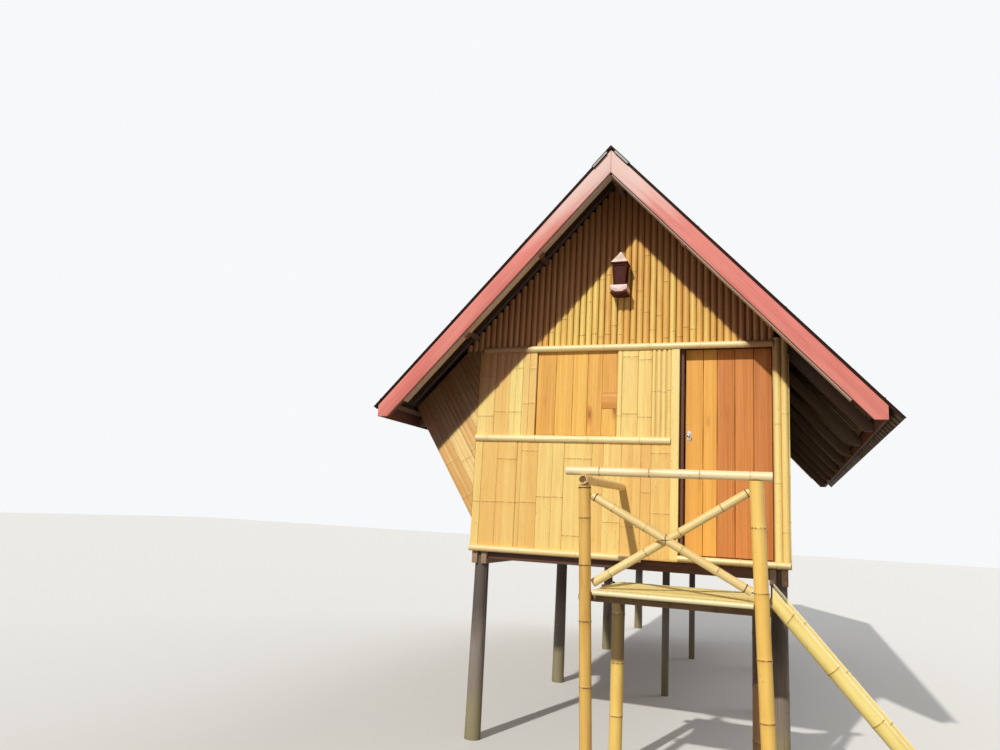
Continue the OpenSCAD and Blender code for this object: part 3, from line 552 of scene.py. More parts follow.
blotches = between(tree, weighted(tree, (patches, 1), (fibres, 0.3)), 0.70, 1.0)
colour = mixed(tree, blotches, colour, given["Stain"], given["Stained"])
cells = stretched(tree, given["Grain"], (22.0, 60.0, 60.0))
spots = node(tree, "ShaderNodeTexVoronoi", {"Vector": cells, "Scale": 1.0})
few = between(tree, node(tree, "ShaderNodeSeparateColor", {0: spots.outputs["Color"]}).outputs[1], 0.86, 0.9)
speck = maths(tree, "MULTIPLY", between(tree, spots.outputs["Distance"], 0.22, 0.10), few)
colour = mixed(tree, speck, colour, given["Stain"], 0.6)
colour = mixed(tree, given["Cut"], colour, mixed(tree, 0.45, given["Pale"], given["Stain"]), 0.7)
tree.links.new(colour, wanted["Colour"])
tree.links.new(weighted(tree, (patches, 0.25), (given["Cut"], 0.3), (0.30, 1)), wanted["Roughness"])
tree.links.new(weighted(tree, (fibres, 0.5), (streaks, 0.35), (line, -0.4)), wanted["Height"])


def bamboo_material(name, pale, deep, stain=(0.16, 0.075, 0.02), darkened=0.3, coat=0.0, ring=0.6):
    """Bamboo in its own colours; coat is the waxy gloss of an unsplit culm, ring how dark its joints are."""
    material, tree, shader = new_material(name)
    made = node(tree, "ShaderNodeGroup",
                {"Grain": attribute(tree, "grain", "Vector"), "Joint": attribute(tree, "joint"),
                 "Tint": attribute(tree, "tint"), "Cut": attribute(tree, "cut"), "Pale": (*pale, 1.0),
                 "Deep": (*deep, 1.0), "Stain": (*stain, 1.0), "Stained": darkened, "Ring": ring},
                node_tree=bamboo_group)
    tree.links.new(made.outputs["Colour"], shader["Base Color"])
    tree.links.new(made.outputs["Roughness"], shader["Roughness"])
    shader["Coat Weight"].default_value = coat
    shader["Coat Roughness"].default_value = 0.35
    bump(tree, made.outputs["Height"], fibre_depth, shader)
    return material


floor_low, floor_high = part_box("floor")
floor_rng = np.random.default_rng(13)
floor_skins = course((floor_low.x, floor_low.y, floor_low.z), (0, 1, 0), (1, 0, 0),
                     floor_high.y - floor_low.y, floor_high.x - floor_low.x, floor_rng, panel=0.20,
                     slat=0.066, thick=0.0192)
floor_bamboo = bamboo_material("floor_bamboo", (0.72, 0.50, 0.22), (0.50, 0.27, 0.09))
put(mesh_object("floor_slats", floor_skins), floor_bamboo, replaces=("floor",))


# Walls: panels of flattened bamboo nailed upright on a plain core, in two courses at the front with a
# rail over the seam. The front ones are set where the photograph shows them, joints included.
wall_half = 1.45
wall_face = -3.0
wall_back_face = 5.9
wall_low_z = 1.74
wall_seam_z = 2.808
seam_gap = 0.003
wall_top_z = 3.668
window_left, window_right = -0.85, -0.054
window_sill_z = 2.84
door_left, door_right = 0.521, 1.322
lower_panels = [(-1.45, -1.375, (2.185,)), (-1.372, -1.214, (2.185,)), (-1.212, -1.014, (2.19, 2.602)),
                (-1.011, -0.969, (2.19,)), (-0.967, -0.804, (2.195, 2.685)), (-0.802, -0.656, (2.254,)),
                (-0.654, -0.544, (2.258,)), (-0.541, -0.276, (1.908, 2.621)), (-0.273, -0.168, (2.30,)),
                (-0.166, 0.0, (2.05, 2.52)), (0.003, 0.181, (2.02, 2.47)), (0.184, 0.272, (2.33,)),
                (0.275, 0.447, (2.149, 2.688))]
upper_panels = [(-1.45, -1.275, (3.02, 3.42)), (-1.272, -1.122, (3.063,)), (-1.120, -0.992, (3.063, 3.50)),
                (-0.989, -0.926, (3.143,)), (-0.924, -0.854, (3.148, 3.49)), (-0.050, -0.008, (3.03,)),
                (-0.005, 0.141, (3.049, 3.59)), (0.144, 0.268, (3.02, 3.56))]
wall_rng = np.random.default_rng(14)
wall_bamboo = bamboo_material("wall_bamboo", (0.95, 0.76, 0.27), (0.84, 0.50, 0.14), (0.26, 0.12, 0.03), 0.18,
                              ring=0.85)
front_skins = []
for low_z, high_z, panels in ((wall_low_z, wall_seam_z, lower_panels),
                              (wall_seam_z + seam_gap, wall_top_z, upper_panels)):
    for left, right, joints in panels:
        front_skins.append(flattened((left, wall_face, low_z), (0, 0, 1), (1, 0, 0), high_z - low_z,
                                     right - left, np.array(joints) - low_z, wall_rng, slat=0.075))
front_skins.append(flattened((window_left, wall_face, wall_seam_z + seam_gap), (0, 0, 1), (1, 0, 0),
                             window_sill_z - wall_seam_z - seam_gap, window_right - window_left, [],
                             wall_rng))
put(mesh_object("front_wall_panels", front_skins), wall_bamboo)


# Narrow culms: four, split lengthways and nailed side by side, close the upper wall between the wide
# panels and the board strip. Whole culms, elsewhere in the house, come from the same function.
def culm(start, end, diameter, rng, up=(0, 0, 1), spacing=0.33, sides=20, swell=1.0, hollow=(0.06, 0.06),
         joints=None, flat=None):
    """A bamboo culm from start to end: point = axis(s) + r(s) * (cos t * side + sin t * up).

    r(s) = diameter / 2 + swell * 1.4% of the diameter * exp(-((s - joint) / 6 mm)^2), with half of that
    over 50 mm on both sides. The joint mark is divided by swell, so the dark ring widens with it.
    Where flat is given, what would reach below it along up is pressed onto that plane, as on a culm
    split lengthways.
    """
    start, end = np.array(start, float), np.array(end, float)
    length = np.linalg.norm(end - start)
    along = (end - start) / length
    side = np.cross(np.array(up, float), along)
    side = side / np.linalg.norm(side)
    up = np.cross(along, side)
    joints = joint_places(length, spacing, rng) if joints is None else np.asarray(joints, float)
    near = (joints[:, None] + np.array([-0.05, -0.014, -0.006, -0.002, 0.002, 0.006, 0.014, 0.05])).ravel()
    even = np.linspace(0.0, length, max(2, int(length / 0.20) + 1))
    s = np.unique(np.concatenate([even, near[(near > 0.004) & (near < length - 0.004)]]))
    nearest = from_joints(s, joints)
    ridge = 0.014 * np.exp(-(nearest / 0.006) ** 2) + 0.007 * np.exp(-(nearest / 0.05) ** 2)
    radius = diameter / 2 + swell * diameter * ridge
    turn = np.linspace(0.0, 2 * math.pi, sides, endpoint=False)
    oval = 1 + 0.012 * np.sin(2 * turn + rng.uniform(0, 6.28))
    left = radius[:, None] * np.cos(turn) * oval
    high = radius[:, None] * np.sin(turn) * oval
    if flat is not None:
        high = np.maximum(high, flat)
        hollow = (0.0, 0.0)
    axis = start + s[:, None] * along
    loops = axis[:, None] + left[:, :, None] * side + high[:, :, None] * up
    grain = np.stack([np.broadcast_to(s[:, None], left.shape), left, high], -1) + rng.uniform(0, 9, 3)
    return skin(loops, grain, nearest / swell, rng.uniform(), hollow)


narrow_culm_d, narrow_joint = 0.037, 0.45
narrow_y = wall_face + 0.004
narrow_culms = [culm((x, narrow_y, wall_seam_z), (x, narrow_y, wall_top_z), narrow_culm_d, wall_rng,
                     up=(0, -1, 0), flat=0.0, sides=14, joints=[narrow_joint + rise])
                for x, rise in zip(np.linspace(0.290, 0.430, 4), (0.0, 0.004, -0.006, 0.01))]
put(mesh_object("front_wall_narrow_culms", narrow_culms), wall_bamboo)


# The other walls carry the same panels: the right wall up to the rafters, the low base on the left and
# the flared wall above it, and the back wall in two courses.
roof_pitch = math.radians(47.05)
ridge_x = -0.04
wall_head_z = 3.803
ridge_z = wall_head_z + (wall_half - ridge_x) * math.tan(roof_pitch)
flare = math.radians(32.0)
flare_low_z = 2.03
house_run = wall_back_face - wall_face
right_head_depth, flare_head_depth = 0.146, 0.150
side_rng = np.random.default_rng(15)
right_top = (ridge_z - right_head_depth / math.cos(roof_pitch)
             - (wall_half - ridge_x) * math.tan(roof_pitch))
right_skins = course((wall_half, wall_face, wall_low_z), (0, 0, 1), (0, 1, 0), right_top - wall_low_z,
                     house_run, side_rng)
put(mesh_object("right_wall_panels", right_skins), wall_bamboo)
base_skins = course((-wall_half, wall_back_face, wall_low_z), (0, 0, 1), (0, -1, 0),
                    flare_low_z - wall_low_z, house_run, side_rng)
put(mesh_object("left_base_panels", base_skins), wall_bamboo)
up_flare = np.array([-math.sin(flare), 0.0, math.cos(flare)])
flare_top = ((ridge_z - flare_head_depth / math.cos(roof_pitch)
              - (wall_half + ridge_x - flare_low_z * math.tan(flare)) * math.tan(roof_pitch))
             / (1 + math.tan(flare) * math.tan(roof_pitch)))
flare_length = (flare_top - flare_low_z) / math.cos(flare)
flare_bamboo = bamboo_material("flare_boards", (0.90, 0.64, 0.25), (0.70, 0.38, 0.11), (0.26, 0.12, 0.03),
                               0.25)
flare_skins = course((-wall_half, wall_back_face, flare_low_z), up_flare, (0, -1, 0), flare_length,
                     house_run, side_rng)
put(mesh_object("flared_wall_panels", flare_skins), flare_bamboo)


# Gable and wings: a row of upright culms over the top rail at the front, split ones at the back, and
# wall panels laid parallel to the flared wall in the wings. Their heads are cut to the roof's slope.
def trimmed(piece, planes):
    """Cuts a piece off beyond each plane (point, outward way) and closes what the cuts opened."""
    work = bmesh.new()
    work.from_mesh(piece.data)
    for point, way in planes:
        cut = bmesh.ops.bisect_plane(work, geom=list(work.verts) + list(work.edges) + list(work.faces),
                                     plane_co=point, plane_no=way, clear_outer=True)
        rim = [part for part in cut["geom_cut"] if isinstance(part, bmesh.types.BMEdge)]
        bmesh.ops.holes_fill(work, edges=rim, sides=0)
    work.to_mesh(piece.data)
    work.free()
    piece.data.set_sharp_from_angle(angle=math.radians(skin_sharp))
    return piece


def roof_cut(depth):
    """The two planes that lie the given depth under the roof sheets."""
    apex = (ridge_x, 0.0, ridge_z - depth / math.cos(roof_pitch))
    return [(apex, (side * math.sin(roof_pitch), 0.0, math.cos(roof_pitch))) for side in (-1, 1)]


gable_pitch = 0.0615
gable_culm_d = 0.062
gable_left = -1.58
gable_sides = 20
gable_joint_spacing, wing_joint_spacing = 0.62, 0.42
gable_bamboo = bamboo_material("gable_culms", (0.93, 0.68, 0.19), (0.78, 0.42, 0.10), (0.13, 0.050, 0.015),
                               0.22, ring=0.9)
# Painted shade under the eaves: a group that turns a colour brown in a band under the roof sheets. The band's
# edge follows the roof's cast shadow from the sun.
painted_eave_shadow, given, wanted = new_group(
    "painted_eave_shadow", [("Colour", "Color"), ("Shadow", "Color"), ("Share", "Float")], [("Colour", "Color")])
place = object_place(painted_eave_shadow)
shade_x = ridge_x + 0.13
full_shadow_drop, no_shadow_drop = 0.58, 0.70
fall = maths(painted_eave_shadow, "SUBTRACT", along_axis(painted_eave_shadow, place, 0), shade_x)
fall = maths(painted_eave_shadow, "ABSOLUTE", fall)
drop = weighted(painted_eave_shadow, (ridge_z, 1), (along_axis(painted_eave_shadow, place, 2), -1),
                (fall, -math.tan(roof_pitch)))
near = between(painted_eave_shadow, drop, no_shadow_drop, full_shadow_drop)
shadowed_colour = mixed(painted_eave_shadow, near, given["Colour"], given["Shadow"], given["Share"])
painted_eave_shadow.links.new(shadowed_colour, wanted["Colour"])


def paint_eave_shadow(material, share, brown=(0.40, 0.145, 0.060)):
    """The material with a share of brown in its colour near the roof sheets. This is painted shade along the
    roof's cast shadow, with shade_x shifting the apex the way the sun throws it, and partly the browner tone
    of culms the sun never bleached:
    drop = ridge_z - z - |x - shade_x| * tan(roof_pitch), the share full at 0.58 m and none at 0.70 m."""
    tree = material.node_tree
    colour = tree.nodes["Principled BSDF"].inputs["Base Color"]
    made = node(tree, "ShaderNodeGroup", {"Colour": colour.links[0].from_socket, "Shadow": (*brown, 1.0),
                                          "Share": share}, node_tree=painted_eave_shadow)
    tree.links.new(made.outputs["Colour"], colour)


# Painted shade from the roof on the gable culms, the wall panels and the flared wall panels.
paint_eave_shadow(gable_bamboo, 0.86)
paint_eave_shadow(wall_bamboo, 0.84)
paint_eave_shadow(flare_bamboo, 0.90, (0.16, 0.055, 0.020))
gable_rng = np.random.default_rng(16)


def shaded_sides(made, sides, reach=0.03):
    """The culm with its joint mark lowered to reach * (1 - |cos t|), so that painted shade darkens both its
    sides, where it meets its neighbours.
    """
    rows = (len(made["points"]) - 2) // sides
    crest = reach * (1 - np.abs(np.cos(np.linspace(0.0, 2 * math.pi, sides, endpoint=False))))
    made["joint"][:-2] = np.minimum(made["joint"][:-2], np.tile(crest, rows))
    return made


wing_below, wing_long = 0.45, 2.6
wing_panels = [(0.0, 0.15), (0.153, 0.142), (0.298, 0.155), (0.456, 0.15), (0.61, 0.137), (0.75, 0.12)]
for name, face, outward, right_end, roof_gap in (("front", wall_face, -1, 1.375, 0.003),
                                                 ("back", wall_back_face, 1, 1.42, 0.045)):
    gable_skins = []
    for x in np.arange(gable_left, right_end - gable_pitch / 2, gable_pitch):
        width = gable_culm_d * gable_rng.uniform(0.94, 1.04)
        centre = face - outward * (width / 2 - 0.003) if outward < 0 else face
        top = ridge_z - abs(x - ridge_x) * math.tan(roof_pitch)
        places = joint_places(top - wall_top_z + 0.1, gable_joint_spacing, gable_rng)
        gable_culm = culm((x, centre, wall_top_z), (x, centre, top), width, gable_rng, up=(0, outward, 0),
                          flat=None if outward < 0 else 0.0, sides=gable_sides, joints=places,
                          hollow=(0.0, 0.0))
        gable_skins.append(shaded_sides(gable_culm, gable_sides))
    gable = trimmed(mesh_object(name + "_gable_culms", gable_skins), roof_cut(roof_gap))
    put(gable, gable_bamboo, replaces=("front_gable",) if outward < 0 else ())
    wing_skins = []
    inward = np.array([math.cos(flare), 0.0, math.sin(flare)])
    start = np.array([-wall_half, face, flare_low_z]) - wing_below * up_flare
    ways = (up_flare, inward) if outward < 0 else (up_flare, -inward)
    for step, width in wing_panels:
        corner = start + step * inward if outward < 0 else start + (step + width) * inward
        wing_skins.append(flattened(corner, ways[0], ways[1], wing_long, width,
                                    joint_places(wing_long, wing_joint_spacing, gable_rng), gable_rng,
                                    slat=0.05))
    wing = trimmed(mesh_object(name + "_wing_panels", wing_skins),
                   roof_cut(0.045) + [((-wall_half - 0.002, 0.0, 0.0), (1.0, 0.0, 0.0)),
                                      ((0.0, 0.0, wall_top_z - 0.004), (0.0, 0.0, 1.0))])
    put(wing, flare_bamboo)
back_skins = course((wall_half, wall_back_face, wall_low_z), (0, 0, 1), (-1, 0, 0), wall_seam_z - wall_low_z,
                    2 * wall_half, side_rng)
back_skins += course((wall_half, wall_back_face, wall_seam_z + seam_gap), (0, 0, 1), (-1, 0, 0),
                     wall_top_z - wall_seam_z - seam_gap, 2 * wall_half, side_rng)
put(mesh_object("back_wall_panels", back_skins), wall_bamboo)


# The cores of the walls, seen in the cracks and from inside the room, where they are split bamboo
# laid upright: the nodes keep their shape and get slats 45 mm wide in relief.
def finish_node(name, material):
    """Gives a CAD node, whose shape stays as it is, its material."""
    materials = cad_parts[name].data.materials
    materials.clear()
    materials.append(material)


core_slat_w = 0.045
core, tree, shader = new_material("wall_core")
axes = node(tree, "ShaderNodeSeparateXYZ", {0: object_place(tree)}).outputs
grain = node(tree, "ShaderNodeCombineXYZ", {0: axes[2], 1: axes[0], 2: axes[1]}).outputs[0]
step = maths(tree, "DIVIDE", maths(tree, "ADD", axes[0], axes[1]), core_slat_w)
slat_number = node(tree, "ShaderNodeTexWhiteNoise", {"W": maths(tree, "FLOOR", step)}, noise_dimensions="1D")
inside_slat = maths(tree, "ABSOLUTE", maths(tree, "SUBTRACT", maths(tree, "FRACT", step), 0.5))
crown = between(tree, inside_slat, 0.5, 0.38)
made = node(tree, "ShaderNodeGroup",
            {"Grain": grain, "Tint": slat_number.outputs[0], "Pale": (0.70, 0.48, 0.20, 1.0),
             "Deep": (0.45, 0.23, 0.07, 1.0), "Stain": (0.14, 0.06, 0.02, 1.0), "Stained": 0.3,
             "Joint": 1.0, "Ring": 0.0}, node_tree=bamboo_group)
# Painted shade: above the wall top, where the core shows only between the gable culms, it is painted near
# black.
gable_gap_shade = between(tree, axes[2], wall_top_z - 0.01, wall_top_z + 0.01)
colour = mixed(tree, crown, (0.08, 0.035, 0.012, 1.0), made.outputs["Colour"])
tree.links.new(mixed(tree, gable_gap_shade, colour, (0.05, 0.022, 0.010, 1.0), 0.7), shader["Base Color"])
tree.links.new(made.outputs["Roughness"], shader["Roughness"])
bump(tree, crown, 0.006, shader)
for name in ("front_wall", "door_side_wall", "door_sill", "front_wing", "back_wall", "right_wall",
             "left_wall_base", "left_flared_wall"):
    finish_node(name, core)


# Rails and strips: culms split lengthways and nailed over the seams of the front and back walls, a
# board strip left of the door and two half culms at the corner right of it.
rail_d = 0.060
rail_stands = 0.015
rail_left = -1.40
rail_rng = np.random.default_rng(17)
rail_bamboo = bamboo_material("rail_bamboo", (0.96, 0.82, 0.45), (0.90, 0.66, 0.30), (0.34, 0.18, 0.05), 0.12,
                              coat=0.15, ring=0.5)
strip_bamboo = bamboo_material("strip_bamboo", (0.95, 0.79, 0.31), (0.88, 0.60, 0.20), (0.30, 0.15, 0.04),
                               0.12, ring=0.6)
# Painted shade from the roof on the rails and strips as well.
paint_eave_shadow(rail_bamboo, 0.84, (0.34, 0.14, 0.06))
paint_eave_shadow(strip_bamboo, 0.80, (0.36, 0.16, 0.055))


def wall_rail(left, right, z, face, outward, joints=None, diameter=rail_d):
    """A split culm along a wall, its axis 15 mm off the face."""
    y = face + outward * rail_stands
    return culm((left, y, z), (right, y, z), diameter, rail_rng, up=(0, outward, 0), flat=-rail_stands,
                sides=24, joints=joints)


base_rail_z = wall_low_z + 0.005
middle_rail_z = 2.805
high_rail_z = 3.685
sill_rail_z, sill_rail_d = 1.772, 0.050
middle_rail_right, base_rail_right = 0.4487, 0.20
rails = [wall_rail(rail_left, door_right + 0.006, high_rail_z, wall_face, -1,
                   [0.42, 0.80, 1.216, 1.65, 2.10, 2.50]),
         wall_rail(-wall_half, middle_rail_right, middle_rail_z, wall_face, -1, [0.126, 0.62, 1.139, 1.62]),
         wall_rail(-wall_half, base_rail_right, base_rail_z, wall_face, -1, [0.496, 1.06, 1.50]),
         wall_rail(door_left, wall_half, sill_rail_z, wall_face, -1, [0.525, 0.82], sill_rail_d)]
put(mesh_object("front_rail_culms", rails), rail_bamboo, replaces=("front_rails",))
back_rail_skins = [wall_rail(left, wall_half, z, wall_back_face, 1)
                   for left, z in ((rail_left, high_rail_z), (-wall_half, middle_rail_z),
                                   (-wall_half, base_rail_z))]
put(mesh_object("back_rail_culms", back_rail_skins), rail_bamboo, replaces=("back_rails",))

corner_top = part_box("front_strips")[1].z
corner_foot, corner_culm_d = sill_rail_z + 0.022, 0.060
corner_culms = [culm((x, wall_face, corner_foot), (x, wall_face, corner_top), corner_culm_d, rail_rng,
                     up=(0, -1, 0), flat=0.0, sides=22, joints=joints)
                for x, joints in ((1.42, [0.25, 1.26]), (1.359, [0.66, 1.17]))]
strip_w, strip_top = 0.072, 3.654
board_strip = flattened((door_left - strip_w, wall_face, wall_low_z), (0, 0, 1), (1, 0, 0),
                        strip_top - wall_low_z, strip_w, [], rail_rng, slat=strip_w, thick=0.0175,
                        crack=0.0015)
put(mesh_object("front_strip_culms", corner_culms + [board_strip]), strip_bamboo,
    replaces=("front_strips",))


# Window: five knotty boards fill the opening, the last one pieced out with a short offcut laid
# across, nailed to four sawn bars behind the wall.
def board(start, end, across, width, depth, rng, radius=0.003, tint=None, sway=0.0008):
    """A planed board: a rectangle width by depth, its corners rounded by radius, carried from start to
    end. A corner's points are its middle + radius * (cos t, sin t) for t in steps of 45 degrees, and
    the edges sway by sway * sin along the length.
    """
    start, end, across = (np.array(value, float) for value in (start, end, across))
    length = np.linalg.norm(end - start)
    along = (end - start) / length
    out = np.cross(along, across)
    corners = np.array([(1, 1, 0), (-1, 1, 90), (-1, -1, 180), (1, -1, 270)])
    side_a, side_b, quarter = corners.T[:, :, None]
    turn = np.radians(quarter + np.array([0, 45, 90]))
    a = (side_a * (width / 2 - radius) + radius * np.cos(turn)).ravel()
    b = (side_b * (depth / 2 - radius) + radius * np.sin(turn)).ravel()
    s = np.linspace(0, length, max(2, int(length / 0.15) + 1))
    phase = rng.uniform(0, 6.28, 2)
    waves = np.stack([np.sin(s * 7 + phase[0]), np.sin(s * 9 + phase[1])], 1) * sway
    wide = a[None] + np.where(a > 0, waves[:, :1], waves[:, 1:]) - sway * np.sign(a)
    loops = start + s[:, None, None] * along + wide[:, :, None] * across + b[:, None] * out
    grain = np.stack([np.broadcast_to(s[:, None], wide.shape), wide, np.broadcast_to(b, wide.shape)], -1)
    return skin(loops, grain + rng.uniform(0, 9, 3), np.ones(len(s)), rng.uniform() if tint is None else tint)


window_rng = np.random.default_rng(18)
bar_low, bar_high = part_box("window_frame")
bar_w = 0.065
bar_y = (bar_low.y + bar_high.y) / 2
bar_t = bar_high.y - bar_low.y
bars = [board((x, bar_y, bar_low.z), (x, bar_y, bar_high.z), (1, 0, 0), bar_w, bar_t, window_rng)
        for x in (bar_low.x + bar_w / 2, bar_high.x - bar_w / 2)]
bars += [board((bar_low.x + bar_w, bar_y, z), (bar_high.x - bar_w, bar_y, z), (0, 0, 1), bar_w, bar_t,
               window_rng)
         for z in (bar_low.z + bar_w / 2, bar_high.z - bar_w / 2)]
put(mesh_object("window_bars", bars), sawn_wood, replaces=("window_frame",))

shutter_low, shutter_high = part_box("window_shutter")
shutter_edges = np.array([shutter_low.x, -0.659, -0.489, -0.344, -0.202, shutter_high.x])
shutter_y = (shutter_low.y + shutter_high.y) / 2
shutter_t = shutter_high.y - shutter_low.y
insert_low, insert_high = 3.10, 3.25
crack = 0.0012
spans = [(left, right, shutter_low.z, shutter_high.z)
         for left, right in zip(shutter_edges[:4], shutter_edges[1:5])]
spans += [(shutter_edges[4], shutter_edges[5], shutter_low.z, insert_low - crack),
          (shutter_edges[4], shutter_edges[5], insert_high + crack, shutter_high.z)]
shutter_boards = [board(((left + right) / 2, shutter_y, low), ((left + right) / 2, shutter_y, high),
                        (1, 0, 0), right - left - crack, shutter_t, window_rng, tint=tint)
                  for (left, right, low, high), tint in zip(spans, (0.55, 0.35, 0.2, 0.5, 0.3, 0.6))]
shutter_boards.append(board((shutter_edges[4] + crack, shutter_y, (insert_low + insert_high) / 2),
                            (shutter_edges[5] - crack, shutter_y, (insert_low + insert_high) / 2), (0, 0, 1),
                            insert_high - insert_low - crack, shutter_t, window_rng, tint=0.85))
shutter_wood = timber_material("shutter_boards", (0.93, 0.56, 0.115), (0.64, 0.25, 0.045), knots=1.0,
                               depth=0.0005)
put(mesh_object("window_boards", shutter_boards), shutter_wood,
    replaces=("window_shutter",))


# Door: a frame of three sawn boards behind the wall, and a leaf of five upright boards, two yellow
# and three red-brown, nailed to two ledges on the inside. It hangs on the right jamb.
door_rng = np.random.default_rng(19)
frame_low, frame_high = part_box("door_frame")
jamb_w = 0.035
jamb_y = (frame_low.y + frame_high.y) / 2
jamb_t = frame_high.y - frame_low.y
head_z = frame_high.z - jamb_w / 2
jambs = [board((x, jamb_y, frame_low.z), (x, jamb_y, frame_high.z - jamb_w), (1, 0, 0), jamb_w, jamb_t,
               door_rng, radius=0.002, sway=0.0)
         for x in (frame_low.x + jamb_w / 2, frame_high.x - jamb_w / 2)]
jambs.append(board((frame_low.x, jamb_y, head_z), (frame_high.x, jamb_y, head_z), (0, 0, 1), jamb_w, jamb_t,
                   door_rng, radius=0.002, sway=0.0))
put(mesh_object("door_jambs", jambs), brown_wood, replaces=("door_frame",))

leaf_low, leaf_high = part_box("door_leaf")
leaf_edges = [leaf_low.x, 0.722, 0.844, 0.999, 1.160, leaf_high.x]
leaf_y = (leaf_low.y + leaf_high.y) / 2
leaf_t = leaf_high.y - leaf_low.y
leaf_crack = 0.002
leaf_boards = [board(((left + right) / 2, leaf_y, leaf_low.z), ((left + right) / 2, leaf_y, leaf_high.z),
                     (1, 0, 0), right - left - leaf_crack, leaf_t, door_rng, tint=tint)
               for left, right, tint in zip(leaf_edges[:-1], leaf_edges[1:], (0.35, 0.15, 0.55, 0.35, 0.7))]
ledge_w, ledge_t, ledge_set_in = 0.12, 0.018, 0.06
ledge_y = leaf_high.y + ledge_t / 2
ledges = [board((leaf_low.x + ledge_set_in, ledge_y, z), (leaf_high.x - ledge_set_in, ledge_y, z), (0, 0, 1),
                ledge_w, ledge_t, door_rng, tint=0.6) for z in (2.30, 3.22)]
yellow_boards = timber_material("yellow_door_boards", (0.90, 0.47, 0.085), (0.66, 0.24, 0.035), knots=0.3,
                                depth=0.0005)
red_boards = timber_material("red_door_boards", (0.76, 0.29, 0.06), (0.44, 0.125, 0.025), knots=0.25,
                             depth=0.0005)
put(mesh_object("door_boards_yellow", leaf_boards[:2]), yellow_boards, "door", ("door_leaf",))
put(mesh_object("door_boards_red", leaf_boards[2:] + ledges), red_boards, "door",
    ("door_leaf",))


# Door handle: on each face a pressed plate with two screws and a round knob on a neck, both knobs on
# one spindle through the leaf. Satin metal.
def lathe(profile, origin, axis, sides=24):
    """Radii and heights turned round an axis: point = origin + h * axis + r * (cos t * u + sin t * v).
    The first and last radii are small but not zero, and skin closes the poles."""
    profile = np.array(profile, float)
    axis = np.array(axis, float)
    u = np.cross(axis, (0.31, 0.52, 0.79))
    u = u / np.linalg.norm(u)
    v = np.cross(axis, u)
    turn = np.linspace(0, 2 * math.pi, sides, endpoint=False)
    ring = np.cos(turn)[:, None] * u + np.sin(turn)[:, None] * v
    loops = np.array(origin, float) + profile[:, 1, None, None] * axis + profile[:, 0, None, None] * ring
    return skin(loops, loops, np.ones(len(loops)), 0.5)


def screw_head(origin, axis, diameter, height, sides=8):
    """A shallow dome on a short rim."""
    half = diameter / 2
    return lathe([(half, -0.001), (half, height * 0.3), (half * 0.75, height * 0.8), (half * 0.3, height)],
                 origin, axis, sides)


def metal_material(name, colour, roughness, metallic, grime=0.3):
    """Metal or paint with faint scratches: roughness and grime vary with noise on Object coordinates."""
    material, tree, shader = new_material(name)
    place = object_place(tree)
    cloud = noise(tree, place, (9.0, 9.0, 9.0), 4.0)
    fine = noise(tree, place, (260.0, 260.0, 60.0), 2.0)
    dark = tuple(0.45 * part for part in colour)
    dirty = between(tree, cloud, 0.45, 0.75)
    tree.links.new(mixed(tree, dirty, (*colour, 1.0), (*dark, 1.0), grime), shader["Base Color"])
    tree.links.new(weighted(tree, (fine, 0.2), (roughness, 1)), shader["Roughness"])
    shader["Metallic"].default_value = metallic
    bump(tree, fine, 0.0001, shader)
    return material


handle_low, handle_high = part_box("door_handle")
handle_x = (handle_low.x + handle_high.x) / 2
handle_z = (handle_low.z + handle_high.z) / 2
plate_w, plate_h, plate_t = 0.036, 0.084, 0.003
handle_parts = []
knob = [(0.012, -0.001), (0.012, 0.002), (0.0075, 0.004), (0.005, 0.009), (0.005, 0.018), (0.009, 0.0225),
        (0.0145, 0.028), (0.017, 0.035), (0.0162, 0.042), (0.0125, 0.0475), (0.006, 0.0503), (0.001, 0.051)]
plate_screw_d, plate_screw_h, plate_screw_up = 0.007, 0.0015, 0.034
for side, face in ((-1, leaf_low.y), (1, leaf_high.y)):
    plate_y = face + side * plate_t / 2
    plate_face = face + side * plate_t
    handle_parts.append(board((handle_x, plate_y, handle_z - plate_h / 2),
                              (handle_x, plate_y, handle_z + plate_h / 2), (1, 0, 0), plate_w, plate_t,
                              door_rng, radius=0.0012, sway=0.0))
    out = (0, side, 0)
    handle_parts += [screw_head((handle_x, plate_face, handle_z + up), out, plate_screw_d, plate_screw_h)
                     for up in (-plate_screw_up, plate_screw_up)]
    handle_parts.append(lathe(knob, (handle_x, plate_face, handle_z), out, 28))
handle_metal = metal_material("handle_metal", (0.72, 0.71, 0.69), 0.22, 1.0)
put(mesh_object("door_knobs", handle_parts), handle_metal, "door", ("door_handle",))


# Hinges: two steel butt hinges screwed to the inner faces of jamb and leaf, three screws a plate.
hinge_steel = metal_material("hinge_steel", (0.42, 0.41, 0.40), 0.30, 1.0, 0.6)
for name in ("hinge_frame_halves", "hinge_door_halves"):
    finish_node(name, hinge_steel)
hinge_y = leaf_high.y + 0.002
hinge_foot_zs = (2.056, 3.314)
hinge_screw_d, hinge_screw_h = 0.008, 0.0015
for name, x, body in (("hinge_frame_screws", 1.341, "house"), ("hinge_door_screws", 1.297, "door")):
    heads = [screw_head((x, hinge_y, foot + rise), (0, 1, 0), hinge_screw_d, hinge_screw_h)
             for foot in hinge_foot_zs for rise in (0.015, 0.050, 0.085)]
    put(mesh_object(name, heads), hinge_steel, body)


